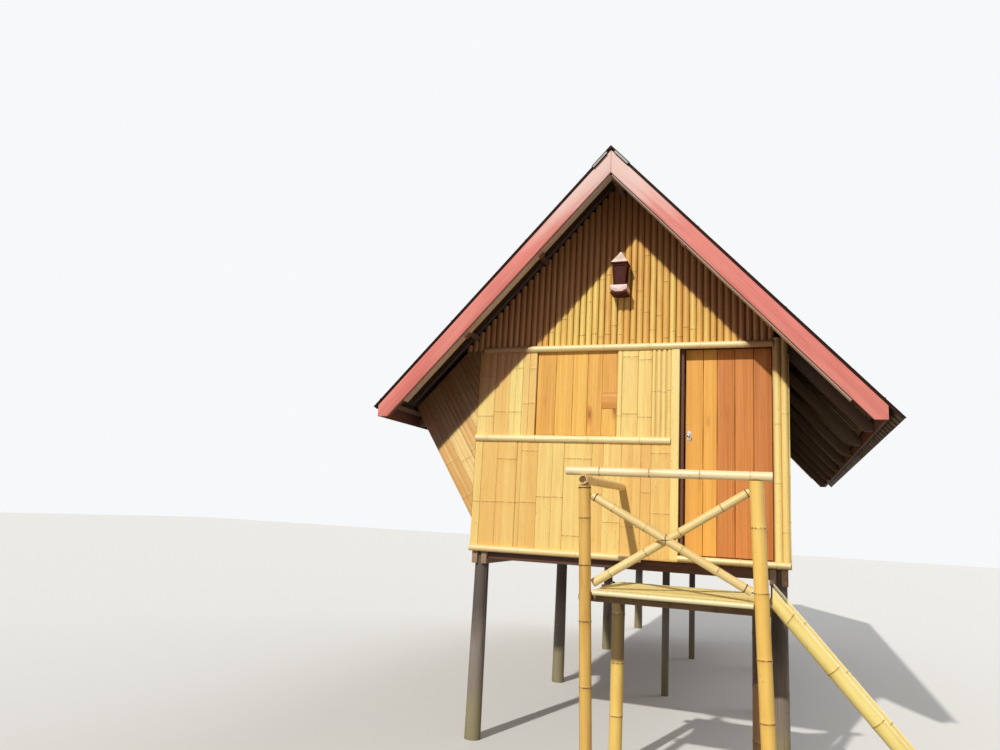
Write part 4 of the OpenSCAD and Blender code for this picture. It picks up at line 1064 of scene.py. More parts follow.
# Roof timbers: a ridge board, pairs of rafters with level-cut tails, purlins along the house and a
# plate on each side wall, all of sawn timber gone grey-brown.
roof_rng = np.random.default_rng(20)
roof_wood = timber_material("roof_timber", (0.19, 0.105, 0.058), (0.085, 0.042, 0.024), (0.13, 0.11, 0.095),
                            knots=0.6, wear=0.5, depth=0.0018)
for name, node_name, wood, slot in (("plates", "wall_plates", sawn_wood, "sawn_beams"),
                                    ("ridge_board", "ridge_beam", roof_wood, "roof_timber"),
                                    ("rafter_pairs", "rafters", roof_wood, "roof_timber"),
                                    ("purlin_rows", "purlins", roof_wood, "roof_timber")):
    put(eased(name, node_name, 0.003, roof_rng), wood, replaces=(node_name,))


# Soffit strips: a weathered board under the end rafters closes the edge of the overhang at each gable,
# and two red-brown cleats lie across it. They stop short of the eave boards.
def slope_frame(side):
    """The ridge, down the slope, and out from it, on the side of the ridge given by -1 or 1."""
    down = np.array([side * math.cos(roof_pitch), 0.0, -math.sin(roof_pitch)])
    out = np.array([side * math.sin(roof_pitch), 0.0, math.cos(roof_pitch)])
    return np.array([ridge_x, 0.0, ridge_z]), down, out


verge_front_y, verge_back_y = -3.575, 6.475
soffit_w, soffit_t, soffit_depth = 0.086, 0.018, 0.1405
soffit_end = 3.02
cleat_w, cleat_t = 0.060, 0.014
cleat_half = soffit_w / 2 - 0.004
cleat_runs = (1.127, 2.149)
apex_gap = (soffit_depth + soffit_t) * math.tan(roof_pitch) + 0.004
# Painted light: the soffit boards are weathered grey timber, painted paler still to stand for the light they
# catch in the shade of the overhang.
lit_soffit_wood = timber_material("soffit_boards", (0.80, 0.62, 0.50), (0.46, 0.31, 0.23), (0.62, 0.54, 0.47),
                              knots=0.5, wear=0.9, depth=0.002)
cleat_wood = timber_material("soffit_cleats", (0.30, 0.085, 0.045), (0.14, 0.035, 0.020), (0.15, 0.10, 0.08),
                             wear=0.3, depth=0.001)
soffit_boards, cleats = [], []
for y in (verge_front_y + soffit_w / 2, verge_back_y - soffit_w / 2):
    for side in (-1, 1):
        ridge, down, out = slope_frame(side)
        level = ridge - (soffit_depth + soffit_t / 2) * out + np.array([0.0, y, 0.0])
        soffit_boards.append(board(level + apex_gap * down, level + soffit_end * down, (0, 1, 0), soffit_w,
                                   soffit_t, roof_rng))
        for run in cleat_runs:
            under = level + run * down - (soffit_t + cleat_t) / 2 * out
            reach_y = np.array([0.0, cleat_half, 0.0])
            cleats.append(board(under - reach_y, under + reach_y, down, cleat_w, cleat_t, roof_rng))
put(mesh_object("soffit_strips", soffit_boards), lit_soffit_wood)
put(mesh_object("soffit_cleat_blocks", cleats), cleat_wood)


# Roof sheets: thin coated steel pressed into ribs that run down the slope, laid in widths of four
# ribs, and screwed through every second rib into each purlin.
sheet_deep = 0.0235
sheet_skin = 0.0012
rib_pitch = 0.19
rib_foot_half, rib_flank = 0.031, 0.016


def rib_height(y):
    """Height of the pressed profile: flat pans, and ribs 62 mm wide at the foot, 30 mm at the top, with
    straight flanks between."""
    away = np.abs((y / rib_pitch + 0.5) % 1.0 - 0.5) * rib_pitch
    return np.clip((rib_foot_half - away) / rib_flank, 0.0, 1.0) * (sheet_deep - sheet_skin)


def thin_skin(upper, lower, grain, tint):
    """A closed skin from two grids of points, the upper and the lower side of a bent sheet.

    Quads join neighbours on both grids, and a band of quads closes each of the four edges. The joint
    mark is 1 on the upper side and 0 on the lower.
    """
    rows, columns = upper.shape[:2]
    loops = np.concatenate([upper, lower[:, ::-1]], 1)
    index = np.arange(rows * 2 * columns).reshape(rows, 2 * columns)
    turned = np.roll(index, -1, axis=1)
    quads = np.stack([index[:-1], turned[:-1], turned[1:], index[1:]], -1).reshape(-1, 4)
    near, far = np.arange(columns - 1), 2 * columns - 1 - np.arange(columns - 1)
    caps = [np.stack([index[0, near + 1], index[0, near], index[0, far], index[0, far - 1]], -1),
            np.stack([index[-1, near], index[-1, near + 1], index[-1, far - 1], index[-1, far]], -1)]
    flat = loops.reshape(-1, 3)
    quads, triangles = outwards(flat, np.concatenate([quads] + caps), np.zeros((0, 3), int))
    side = np.concatenate([np.ones(columns), np.zeros(columns)])
    return {"points": flat, "quads": quads, "triangles": triangles, "grain": grain.reshape(-1, 3),
            "joint": np.tile(side, rows), "cut": np.zeros(len(flat)), "tint": np.repeat(tint, 2 * columns)}


def ribbed_sheet(side, front, back, start, end, rng):
    """The sheet as a closed skin: point(y, s) = ridge + s * down + (rib_height(y) + dents) * out, and the
    same points one skin lower for the underside."""
    origin, down, out = slope_frame(side)
    first = math.floor(front / rib_pitch) - 1
    ribs = np.arange(first, math.ceil(back / rib_pitch) + 2) * rib_pitch
    rib_top_half = rib_foot_half - rib_flank
    bends = np.array([rib_top_half - 0.0005, rib_top_half, rib_foot_half, 2 * rib_foot_half])
    y = (ribs[:, None] + np.concatenate([-bends[::-1], bends])).ravel()
    y = np.unique(np.concatenate([[front, back], y[(y > front + 0.002) & (y < back - 0.002)]]))
    s = np.linspace(start, end, 12)
    heights = rib_height(y)[:, None] + 0.0006 * np.sin(s * rng.uniform(5, 9) + y[:, None] * 11.0)
    heights = np.clip(heights, 0.0, sheet_deep - sheet_skin)
    top = origin + s[None, :, None] * down + (heights + sheet_skin)[:, :, None] * out
    top[..., 1] = y[:, None]
    both = np.broadcast_to(np.concatenate([s, s[::-1]]), (len(y), 2 * len(s)))
    along_y = np.broadcast_to(y[:, None], both.shape)
    widths = (np.floor(y / (4 * rib_pitch)) * 0.37) % 1.0
    return thin_skin(top, top - sheet_skin * out, np.stack([both, along_y, 0 * both], -1), widths)


def coated_metal(name, colour, chalk, under):
    """Coated sheet: a little chalky in patches, streaked down the slope, bare brown primer underneath."""
    material, tree, shader = new_material(name)
    grain = attribute(tree, "grain", "Vector")
    cloud = noise(tree, grain, (0.8, 2.2, 2.2), 4.0)
    streak = noise(tree, grain, (0.6, 60.0, 60.0), 3.0)
    chalky = weighted(tree, (cloud, 0.7), (streak, 0.35), (attribute(tree, "tint"), 0.12))
    paint = mixed(tree, between(tree, chalky, 0.45, 0.85), (*colour, 1.0), (*chalk, 1.0))
    tree.links.new(mixed(tree, attribute(tree, "joint"), (*under, 1.0), paint), shader["Base Color"])
    tree.links.new(weighted(tree, (chalky, 0.35), (0.22, 1)), shader["Roughness"])
    shader["Metallic"].default_value = 0.25
    bump(tree, weighted(tree, (cloud, 1), (streak, 0.2)), 0.0008, shader)
    return material


roof_metal = coated_metal("roof_metal", (0.026, 0.032, 0.062), (0.062, 0.07, 0.105), (0.050, 0.026, 0.015))
sheet_t, sheet_start = 0.025, 0.008
roof_screw_d, roof_screw_h = 0.013, 0.005
purlin_runs = np.linspace(0.105, 3.171, 4)
for name, node_name, side in (("left_ribbed_sheet", "left_roof_sheet", -1),
                              ("right_ribbed_sheet", "right_roof_sheet", 1)):
    sheet_low, sheet_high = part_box(node_name)
    reach_x = ridge_x - sheet_low.x if side < 0 else sheet_high.x - ridge_x
    sheet_end = (reach_x - sheet_t * math.sin(roof_pitch)) / math.cos(roof_pitch)
    shapes = [ribbed_sheet(side, sheet_low.y, sheet_high.y, sheet_start, sheet_end, roof_rng)]
    origin, down, out = slope_frame(side)
    first_rib, last_rib = math.ceil(sheet_low.y / rib_pitch), math.floor(sheet_high.y / rib_pitch)
    for s in purlin_runs:
        for y in np.arange(first_rib, last_rib + 1, 2) * rib_pitch:
            shapes.append(screw_head(origin + s * down + sheet_deep * out + np.array([0, y, 0]), out,
                                     roof_screw_d, roof_screw_h, 6))
    put(mesh_object(name, shapes), roof_metal, replaces=(node_name,))


# Ridge cap: one strip of coated sheet bent over the ridge, both edges hemmed, its ends closed with
# narrow strips of bare metal. Its section is carried along y, swaying by 0.8 mm * sin(3.1 y), and the
# underside lies one skin lower along the section's normal.
cap_low, cap_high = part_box("ridge_cap")
cap_half = (cap_high.x - cap_low.x) / 2
cap_skin = 0.0016
cap_lift = sheet_t + 0.0028
cap_run = cap_half / math.cos(roof_pitch) - 0.006
cap_points = []
for side in (-1, 1):
    origin, down, out = slope_frame(side)
    cap_points.append([origin + s * down + (cap_lift + dip) * out
                       for s, dip in ((0.012, 0.0), (0.06, 0.0), (0.15, 0.0), (cap_run - 0.012, 0.0),
                                      (cap_run, -0.001))])
outer = np.array(cap_points[0][::-1] + [np.array([ridge_x, 0.0, cap_high.z - 0.004])] + cap_points[1])
normal = np.gradient(outer, axis=0)
normal = np.stack([-normal[:, 2], np.zeros(len(normal)), normal[:, 0]], 1)
normal = normal / np.linalg.norm(normal, axis=1, keepdims=True)
cap_ys = np.linspace(cap_low.y, cap_high.y, 44)
cap_top = np.repeat(outer[None], len(cap_ys), 0)
cap_top[..., 1] = cap_ys[:, None]
cap_top[..., 2] += 0.0008 * np.sin(cap_ys * 3.1)[:, None] - 0.0008
cap_grain = np.concatenate([cap_top, cap_top[:, ::-1]], 1)
ridge_metal = coated_metal("ridge_metal", (0.028, 0.030, 0.055), (0.07, 0.075, 0.10), (0.34, 0.30, 0.27))
put(mesh_object("ridge_strip", [thin_skin(cap_top, cap_top - cap_skin * normal, cap_grain,
                                          np.full(len(cap_ys), 0.5))]),
    ridge_metal, replaces=("ridge_cap",))
closures = []
closure_w, closure_t, closure_set_in, closure_lift = 0.018, 0.0014, 0.0012, 0.010
for y in (cap_low.y + closure_set_in, cap_high.y - closure_set_in):
    for side in (-1, 1):
        origin, down, out = slope_frame(side)
        middle = origin + closure_lift * out + np.array([0.0, y, 0.0])
        closures.append(board(middle + 0.045 * down, middle + (cap_run - 0.004) * down, out, closure_w,
                              closure_t, roof_rng, radius=0.0005, sway=0.0))
bare_metal = metal_material("bare_ridge_metal", (0.36, 0.34, 0.31), 0.5, 0.1, 0.6)
put(mesh_object("ridge_end_closures", closures), bare_metal, replaces=("ridge_cap",))


# Bargeboards and eave boards: planed boards over the ends of purlins and rafters, painted a red that has
# faded to salmon, and to pale pink near the apex. The bargeboards' inner faces and the eave boards lie in
# shade and carry painted shade: a near-black brown.
painted, tree, shader = new_material("painted_boards")
grain = attribute(tree, "grain", "Vector")
place = object_place(tree)
bare = node(tree, "ShaderNodeGroup",
            {"Grain": grain, "Tint": attribute(tree, "tint"), "Cut": attribute(tree, "cut"),
             "Pale": (0.80, 0.55, 0.36, 1.0), "Deep": (0.52, 0.30, 0.18, 1.0),
             "Worn": (0.66, 0.55, 0.46, 1.0), "Knots": 0.4, "Wear": 0.5}, node_tree=timber_group)
streak = noise(tree, grain, (1.2, 55.0, 55.0), 4.0)
cloud = noise(tree, grain, (1.6, 7.0, 7.0), 4.0)
fine = noise(tree, grain, (14.0, 420.0, 420.0), 2.0)
faded = weighted(tree, (cloud, 0.8), (streak, 0.5))
paint = mixed(tree, between(tree, faded, 0.40, 0.95), (0.66, 0.165, 0.135, 1.0), (0.84, 0.30, 0.25, 1.0))
near_apex = between(tree, along_axis(tree, place, 2), 4.15, 5.35)
bleached = weighted(tree, (near_apex, 0.95), (maths(tree, "SUBTRACT", faded, 0.65), 1.1))
paint = mixed(tree, between(tree, bleached, 0.15, 0.95), paint, (0.79, 0.55, 0.50, 1.0))
rubbed = between(tree, weighted(tree, (streak, 0.55), (cloud, 0.6), (fine, 0.12)), 0.84, 0.94)
paint = mixed(tree, rubbed, paint, bare.outputs["Colour"], 0.7)
middle_y = (verge_front_y + verge_back_y) / 2
inner_face = verge_back_y - middle_y
from_middle = maths(tree, "SUBTRACT", along_axis(tree, place, 1), middle_y)
from_middle = maths(tree, "ABSOLUTE", from_middle)
outer_face = between(tree, from_middle, inner_face + 0.003, inner_face + 0.007)
# Painted shade: the inner faces, which face the house and lie in shade, are near black.
tree.links.new(mixed(tree, outer_face, (0.085, 0.036, 0.022, 1.0), paint), shader["Base Color"])
tree.links.new(weighted(tree, (faded, 0.3), (0.42, 1)), shader["Roughness"])
bump(tree, weighted(tree, (fine, 0.4), (rubbed, -0.5)), 0.0008, shader)
put(eased("gable_boards", "bargeboards", 0.003, roof_rng), painted,
    replaces=("bargeboards",))
eave_shade_wood = timber_material("eave_boards", (0.17, 0.055, 0.035), (0.085, 0.025, 0.018), (0.12, 0.09, 0.08),
                            knots=0.3, wear=0.4, depth=0.0012)
put(eased("eave_fascias", "eave_boards", 0.003, roof_rng), eave_shade_wood,
    replaces=("eave_boards",))


# Lamp: a wooden plate on the gable carries a lantern of painted sheet metal: a pale tray with four
# pointed petals, four nearly black panes in a tapering frame, and a pale four-sided roof with a finial.
lamp_sides = 24


def squared(centre, levels):
    """Square sections with rounded corners stacked upwards; each level is (height, half width).

    The section is half width * (sign(cos t) * |cos t|^0.08, sign(sin t) * |sin t|^0.08).
    """
    turn = np.linspace(0, 2 * math.pi, lamp_sides, endpoint=False) + math.pi / lamp_sides
    ring = np.stack([np.cos(turn), np.sin(turn)], 1)
    ring = np.sign(ring) * np.abs(ring) ** 0.08
    levels = np.array(levels, float)
    loops = np.zeros((len(levels), lamp_sides, 3))
    loops[..., :2] = levels[:, 1, None, None] * ring
    loops[..., 2] = levels[:, :1]
    loops += np.array(centre, float)
    return skin(loops, loops, np.ones(len(levels)), 0.5)


lamp_low, lamp_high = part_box("lamp_lantern")
plate_low, plate_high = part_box("lamp_bracket")
lamp_x = (lamp_low.x + lamp_high.x) / 2
lamp_y = (lamp_low.y + lamp_high.y) / 2
lamp_half = (lamp_high.x - lamp_low.x) / 2
tray_h, body_h, lamp_roof_h = 0.070, 0.240, 0.120
foot_half, top_half = lamp_half * 0.70, lamp_half - 0.012
petal_dip = 0.046
lamp_rng = np.random.default_rng(21)
lamp_paint = metal_material("lamp_paint", (0.075, 0.014, 0.011), 0.5, 0.0)
lamp_paint.node_tree.nodes["Principled BSDF"].inputs["Specular IOR Level"].default_value = 0.15
lamp_roof_paint = metal_material("lamp_roof_paint", (0.93, 0.74, 0.62), 0.35, 0.0, 0.5)
tray_paint = metal_material("lamp_tray_paint", (0.95, 0.66, 0.60), 0.35, 0.0, 0.5)
plate_y = (plate_low.y + plate_high.y) / 2
lamp_board = board((lamp_x, plate_y, plate_low.z), (lamp_x, plate_y, plate_high.z), (1, 0, 0),
                   plate_high.x - plate_low.x, plate_high.y - plate_low.y, lamp_rng, radius=0.005)
put(mesh_object("lamp_plate", [lamp_board]), brown_wood, replaces=("lamp_bracket",))
tray_levels = [(0.019, lamp_half * 0.60), (0.024, lamp_half * 0.74), (0.044, lamp_half * 0.95),
               (0.075, lamp_half), (0.083, lamp_half), (0.083, lamp_half - 0.005), (0.050, foot_half),
               (0.050, 0.02)]
tray = squared((lamp_x, lamp_y, lamp_low.z), tray_levels)
# The tray's sections become true squares, centre + half width * (cos t, sin t) / m with m the larger of
# |cos t| and |sin t|. Its rim sinks between the corners by petal_dip * (1 - the smaller / m).
tray_turn = np.linspace(0, 2 * math.pi, lamp_sides, endpoint=False)
tray_ring = np.stack([np.cos(tray_turn), np.sin(tray_turn)], 1)
to_side = np.abs(tray_ring).max(1)
tray_points = tray["points"][:len(tray_levels) * lamp_sides].reshape(len(tray_levels), lamp_sides, 3)
half_widths = np.abs(tray_points[:, :, 0] - lamp_x).max(1)
tray_points[..., :2] = (np.array([lamp_x, lamp_y])
                        + half_widths[:, None, None] * (tray_ring / to_side[:, None]))
tray_points[3:6, :, 2] -= petal_dip * (1 - np.abs(tray_ring).min(1) / to_side)
put(mesh_object("lamp_tray", [tray]), tray_paint, replaces=("lamp_lantern",))
body_low_z = lamp_low.z + tray_h - 0.012
body_top_z = lamp_low.z + tray_h + body_h
parts = [squared((lamp_x, lamp_y, lamp_low.z), [(0.0, lamp_half * 0.94), (0.003, lamp_half),
                                                (0.017, lamp_half), (0.022, lamp_half * 0.70)]),
         squared((lamp_x, lamp_y, body_low_z), [(-0.006, foot_half - 0.006), (0.0, foot_half),
                                                (0.012, foot_half)]),
         squared((lamp_x, lamp_y, body_top_z), [(-0.034, top_half - 0.004), (-0.020, top_half),
                                                (-0.012, lamp_half), (-0.002, lamp_half)])]
bar_foot, bar_head, lamp_bar_w = foot_half - 0.006, top_half - 0.006, 0.011
for i in (-1, 1):
    for j in (-1, 1):
        foot = (lamp_x + i * bar_foot, lamp_y + j * bar_foot, body_low_z + 0.010)
        head = (lamp_x + i * bar_head, lamp_y + j * bar_head, body_top_z - 0.014)
        parts.append(board(foot, head, (1, 0, 0), lamp_bar_w, lamp_bar_w, lamp_rng, radius=0.002, sway=0.0))
roof_steps = [(0.0, lamp_half - 0.004), (0.003, lamp_half - 0.002), (0.008, lamp_half - 0.002),
              (0.045, lamp_half * 0.66), (0.090, lamp_half * 0.28), (lamp_roof_h, 0.008)]
put(mesh_object("lamp_roof", [squared((lamp_x, lamp_y, body_top_z - 0.003), roof_steps)]), lamp_roof_paint,
    replaces=("lamp_lantern",))
finial = [(0.006, -0.006), (0.005, 0.004), (0.0085, 0.008), (0.0115, 0.013), (0.0115, 0.018), (0.008, 0.0235),
          (0.003, 0.026)]
parts.append(lathe(finial, (lamp_x, lamp_y, body_top_z + lamp_roof_h - 0.012), (0, 0, 1), 16))
put(mesh_object("lamp_frame", parts), lamp_paint, replaces=("lamp_lantern",))
panes, tree, shader = new_material("lamp_panes")
place = object_place(tree)
tree.links.new(mixed(tree, noise(tree, place, (30.0, 30.0, 12.0), 3.0), (0.030, 0.004, 0.003, 1.0),
                     (0.100, 0.018, 0.014, 1.0)), shader["Base Color"])
shader["Roughness"].default_value = 0.35
shader["Specular IOR Level"].default_value = 0.15
bump(tree, noise(tree, place, (60.0, 60.0, 25.0), 2.0), 0.0012, shader)
pane_set_in = 0.010
glass = squared((lamp_x, lamp_y, body_low_z), [(0.006, foot_half - pane_set_in),
                                               (body_top_z - body_low_z - 0.008, top_half - pane_set_in)])
put(mesh_object("lamp_glass", [glass]), panes, replaces=("lamp_lantern",))


# Porch: four bamboo posts, the front two leaning left together, carry cross bearers, three bearers
# from front to back, a deck of split culms, two rails and a pair of crossed braces.
def cut_culm(start, end, diameter, rng, first_way, last_way, **shape):
    """A culm whose first and last sections lie on planes through start and end with the given normals.

    Each end point slides along the culm: p + along * ((end - p) . way) / (along . way).
    """
    start, end = np.array(start, float), np.array(end, float)
    made = culm(start, end, diameter, rng, **shape)
    length = np.linalg.norm(end - start)
    along = (end - start) / length
    points = made["points"]
    travel = (points - start) @ along
    for anchor, way, near in ((start, first_way, travel), (end, last_way, length - travel)):
        if way is None:
            continue
        way = np.array(way, float)
        across_way = way - (way @ along) * along
        slide = -((points - anchor) @ across_way) / (along @ way)
        fade = np.clip(1 - near / (2.2 * diameter), 0.0, 1.0)
        points += along * (slide * fade)[:, None]
    return made


seat = 0.0003
deck_z = 1.540
bearer_z = 1.4797
bearer_d = 0.070
lean = 0.088 / 2.340
left_foot_x, left_post_y, left_post_h, left_post_d = 0.012, -4.045, 2.340, 0.092
right_foot_x, right_post_y, right_post_h, right_post_d = 1.307, -4.050, 2.4103, 0.102
right_bearer_x = 1.2891
back_post_x, back_post_y, back_post_d, back_post_top = 0.025, -3.076, 0.112, 1.5147
back_right_x = right_bearer_x - back_post_d / 2 - bearer_d / 2 - seat
porch_rng = np.random.default_rng(22)
porch_bamboo = bamboo_material("porch_bamboo", (0.97, 0.70, 0.20), (0.86, 0.49, 0.085), (0.26, 0.12, 0.025),
                               0.22, coat=0.25, ring=0.95)
aged_bamboo = bamboo_material("aged_bamboo", (0.90, 0.58, 0.15), (0.56, 0.29, 0.055), (0.18, 0.08, 0.02),
                              0.55, coat=0.2, ring=0.95)
# Painted shade: the bearers under the deck and the back right post, which stand in the deck's shade, get a
# near-black brown bamboo.
shaded_dark_bamboo = bamboo_material("shaded_dark_bamboo", (0.26, 0.145, 0.055), (0.12, 0.060, 0.022),
                              (0.07, 0.035, 0.015), 0.45, ring=0.8)
ring_swell = 1.7


def porch_post(foot_x, y, height, diameter, joints):
    """A post that leans left by the same rate as its neighbour, cut level at both ends."""
    return cut_culm((foot_x, y, 0.0), (foot_x - lean * height, y, height), diameter, porch_rng, (0, 0, 1),
                    (0, 0, 1), up=(0, -1, 0), joints=joints, sides=32, swell=ring_swell)


left_post = porch_post(left_foot_x, left_post_y, left_post_h, left_post_d, [0.36, 0.825, 1.302, 1.72, 2.08])
right_post = porch_post(right_foot_x, right_post_y, right_post_h, right_post_d,
                        [0.355, 0.747, 1.162, 1.614, 2.073])
back_posts = [culm((x, back_post_y, 0.0), (x, back_post_y, back_post_top), back_post_d, porch_rng,
                   up=(0, -1, 0), joints=joints, sides=32, swell=ring_swell)
              for x, joints in ((back_post_x, [0.426, 0.86, 1.27]), (back_right_x, [0.38, 0.81, 1.22]))]
# Painted shadow: the back left post is pale at the foot and painted dark from 0.84 m up, where the deck's
# shadow falls on it.
deck_shadow_bamboo = bamboo_material("painted_deck_shadow_bamboo", (0.96, 0.68, 0.18), (0.84, 0.46, 0.08), (0.26, 0.12, 0.025),
                            0.22, coat=0.25, ring=0.95)
tree = deck_shadow_bamboo.node_tree
colour = tree.nodes["Principled BSDF"].inputs["Base Color"]
level = along_axis(tree, object_place(tree), 2)
in_deck_shadow = between(tree, level, 0.84, 0.90)
tree.links.new(mixed(tree, in_deck_shadow, colour.links[0].from_socket, (0.085, 0.052, 0.016, 1.0), 0.92), colour)
for name, post, bamboo in (("porch_right_culm_post", right_post, porch_bamboo),
                           ("porch_left_culm_post", left_post, aged_bamboo),
                           ("porch_back_left_post", back_posts[0], deck_shadow_bamboo),
                           ("porch_back_right_post", back_posts[1], shaded_dark_bamboo)):
    put(mesh_object(name, [post]), bamboo, replaces=("porch_posts",))

tie_ys = (-3.9637, -3.1673)
bearer_xs = (0.0422, 0.6656, right_bearer_x)
tie_left, tie_right = -0.108, 1.312
bearer_ends = (tie_ys[0] + bearer_d / 2 + seat, tie_ys[1] - bearer_d / 2 - seat)
cross_bearers = [culm((tie_left, y, bearer_z), (tie_right, y, bearer_z), bearer_d, porch_rng, sides=24)
                 for y in tie_ys]
deck_bearers = [culm((x, bearer_ends[0], bearer_z), (x, bearer_ends[1], bearer_z), bearer_d, porch_rng,
                     sides=24, hollow=(0.0, 0.0)) for x in bearer_xs]
put(mesh_object("cross_bearer_culms", cross_bearers), shaded_dark_bamboo,
    replaces=("porch_cross_bearers",))
put(mesh_object("deck_bearer_culms", deck_bearers), shaded_dark_bamboo,
    replaces=("porch_deck_bearers",))

deck_low, deck_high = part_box("porch_deck")
deck_bamboo = bamboo_material("deck_bamboo", (0.90, 0.82, 0.42), (0.66, 0.51, 0.15), (0.24, 0.15, 0.04), 0.3)
slat_w, slat_gap, slat_joints = 0.042, 0.002, 0.36
front_edge_d = 0.040
past_post = right_post_d / 2 + 0.006
post_side_x = right_foot_x - lean * deck_z - past_post
slat_z = deck_high.z - slat_w / 2
last_slat_y = deck_low.y + 0.030
slats = []
for y in np.arange(deck_high.y - slat_w / 2, last_slat_y, -slat_w - slat_gap):
    end_x = deck_high.x if y - slat_w / 2 > right_post_y + past_post else post_side_x
    start = (deck_low.x + porch_rng.uniform(0.0, 0.012), y, slat_z)
    end = (end_x - porch_rng.uniform(0.0, 0.006), y, slat_z)
    slats.append(culm(start, end, slat_w, porch_rng, up=(0, 0, 1), flat=-0.003, sides=16,
                      spacing=slat_joints))
edge_y = deck_low.y + front_edge_d / 2
front_edge = culm((deck_low.x, edge_y, slat_z), (post_side_x, edge_y, slat_z), front_edge_d, porch_rng,
                  up=(0, -1, 0), flat=-0.004, sides=18, spacing=slat_joints)
edge_bamboo = bamboo_material("deck_edge_bamboo", (0.95, 0.90, 0.66), (0.84, 0.74, 0.42), (0.35, 0.24, 0.09),
                              0.2, ring=0.4)
put(mesh_object("deck_slats", slats), deck_bamboo, replaces=("porch_deck",))
put(mesh_object("deck_front_edge", [front_edge]), edge_bamboo, replaces=("porch_deck",))

side_rail_z, side_rail_d = 2.3753, 0.070
side_rail_front, side_rail_turn = left_post_y - 0.0647, 0.0915
top_rail_z, top_rail_d = 2.4456, 0.070
top_rail_left, top_rail_right = -0.226, 1.330
head_x = left_foot_x - lean * left_post_h
porch_rails = [cut_culm((head_x, side_rail_front, side_rail_z),
                        (head_x + side_rail_turn, wall_face - 0.001, side_rail_z), side_rail_d, porch_rng,
                        None, (0, 1, 0), sides=28, joints=[0.30, 0.66], swell=ring_swell),
               culm((top_rail_left, right_post_y, top_rail_z), (top_rail_right, right_post_y, top_rail_z),
                    top_rail_d, porch_rng, sides=28, joints=[0.27, 0.66, 1.038, 1.40], swell=ring_swell)]
porch_rail_bamboo = bamboo_material("porch_rail_bamboo", (0.95, 0.78, 0.46), (0.82, 0.57, 0.26),
                                    (0.28, 0.14, 0.05), 0.3, coat=0.15, ring=0.8)
put(mesh_object("porch_rail_culms", porch_rails), porch_rail_bamboo,
    replaces=("porch_rails",))

brace_d = 0.066
brace_back_y = right_post_y + right_post_d / 2 + brace_d / 2 + seat
brace_front_y = brace_back_y - brace_d - seat
front_brace = (np.array([-0.0103, brace_front_y, 2.256]), np.array([1.1788, brace_front_y, 1.615]))
back_brace = (np.array([-0.0016, brace_back_y, 1.584]), np.array([1.1682, brace_back_y, 2.336]))
brace_bamboo = bamboo_material("brace_bamboo", (0.92, 0.78, 0.40), (0.80, 0.58, 0.22), (0.30, 0.18, 0.05),
                               0.25, coat=0.2, ring=0.8)
braces = [culm(start, end, brace_d, porch_rng, sides=24, up=(0, -1, 0), swell=ring_swell)
          for start, end in (front_brace, back_brace)]
put(mesh_object("brace_culms", braces), brace_bamboo, replaces=("porch_braces",))


# Stair: two thick culms lean on the porch, cut plumb at the head and level at the foot, with five
# round rungs let into their inner sides.
stringer_ys = (-3.9472, -3.4472)
stringer_d = 0.1012
stair_head = (1.319, 1.577)
stair_foot_x = 2.7044
rung_d = 0.050
rung_rise = deck_z / 6
rung_let_in = 0.010
stair_slope = stair_head[1] / (stair_foot_x - stair_head[0])
stair_bamboo = bamboo_material("stair_bamboo", (0.93, 0.76, 0.27), (0.80, 0.56, 0.115), (0.30, 0.16, 0.03),
                               0.22, coat=0.3, ring=0.85)
stringers = [cut_culm((stair_head[0], y, stair_head[1]), (stair_foot_x, y, 0.0), stringer_d, porch_rng,
                      (1, 0, 0), (0, 0, 1), sides=36, up=(0, -1, 0), joints=joints, swell=1.3)
             for y, joints in zip(stringer_ys, ([0.176, 0.598, 1.006, 1.41, 1.83], [0.30, 0.73, 1.16, 1.60]))]
put(mesh_object("stringer_culms", stringers), stair_bamboo, replaces=("stair_stringers",))
rung_near_y = stringer_ys[0] + stringer_d / 2 - rung_let_in
rung_far_y = stringer_ys[1] - stringer_d / 2 + rung_let_in
rungs = []
for step in range(1, 6):
    rung_z = step * rung_rise
    rung_x = stair_foot_x - rung_z / stair_slope
    rungs.append(culm((rung_x, rung_near_y, rung_z), (rung_x, rung_far_y, rung_z), rung_d, porch_rng,
                      sides=20, hollow=(0.0, 0.0)))
put(mesh_object("rung_culms", rungs), stair_bamboo, replaces=("stair_rungs",))


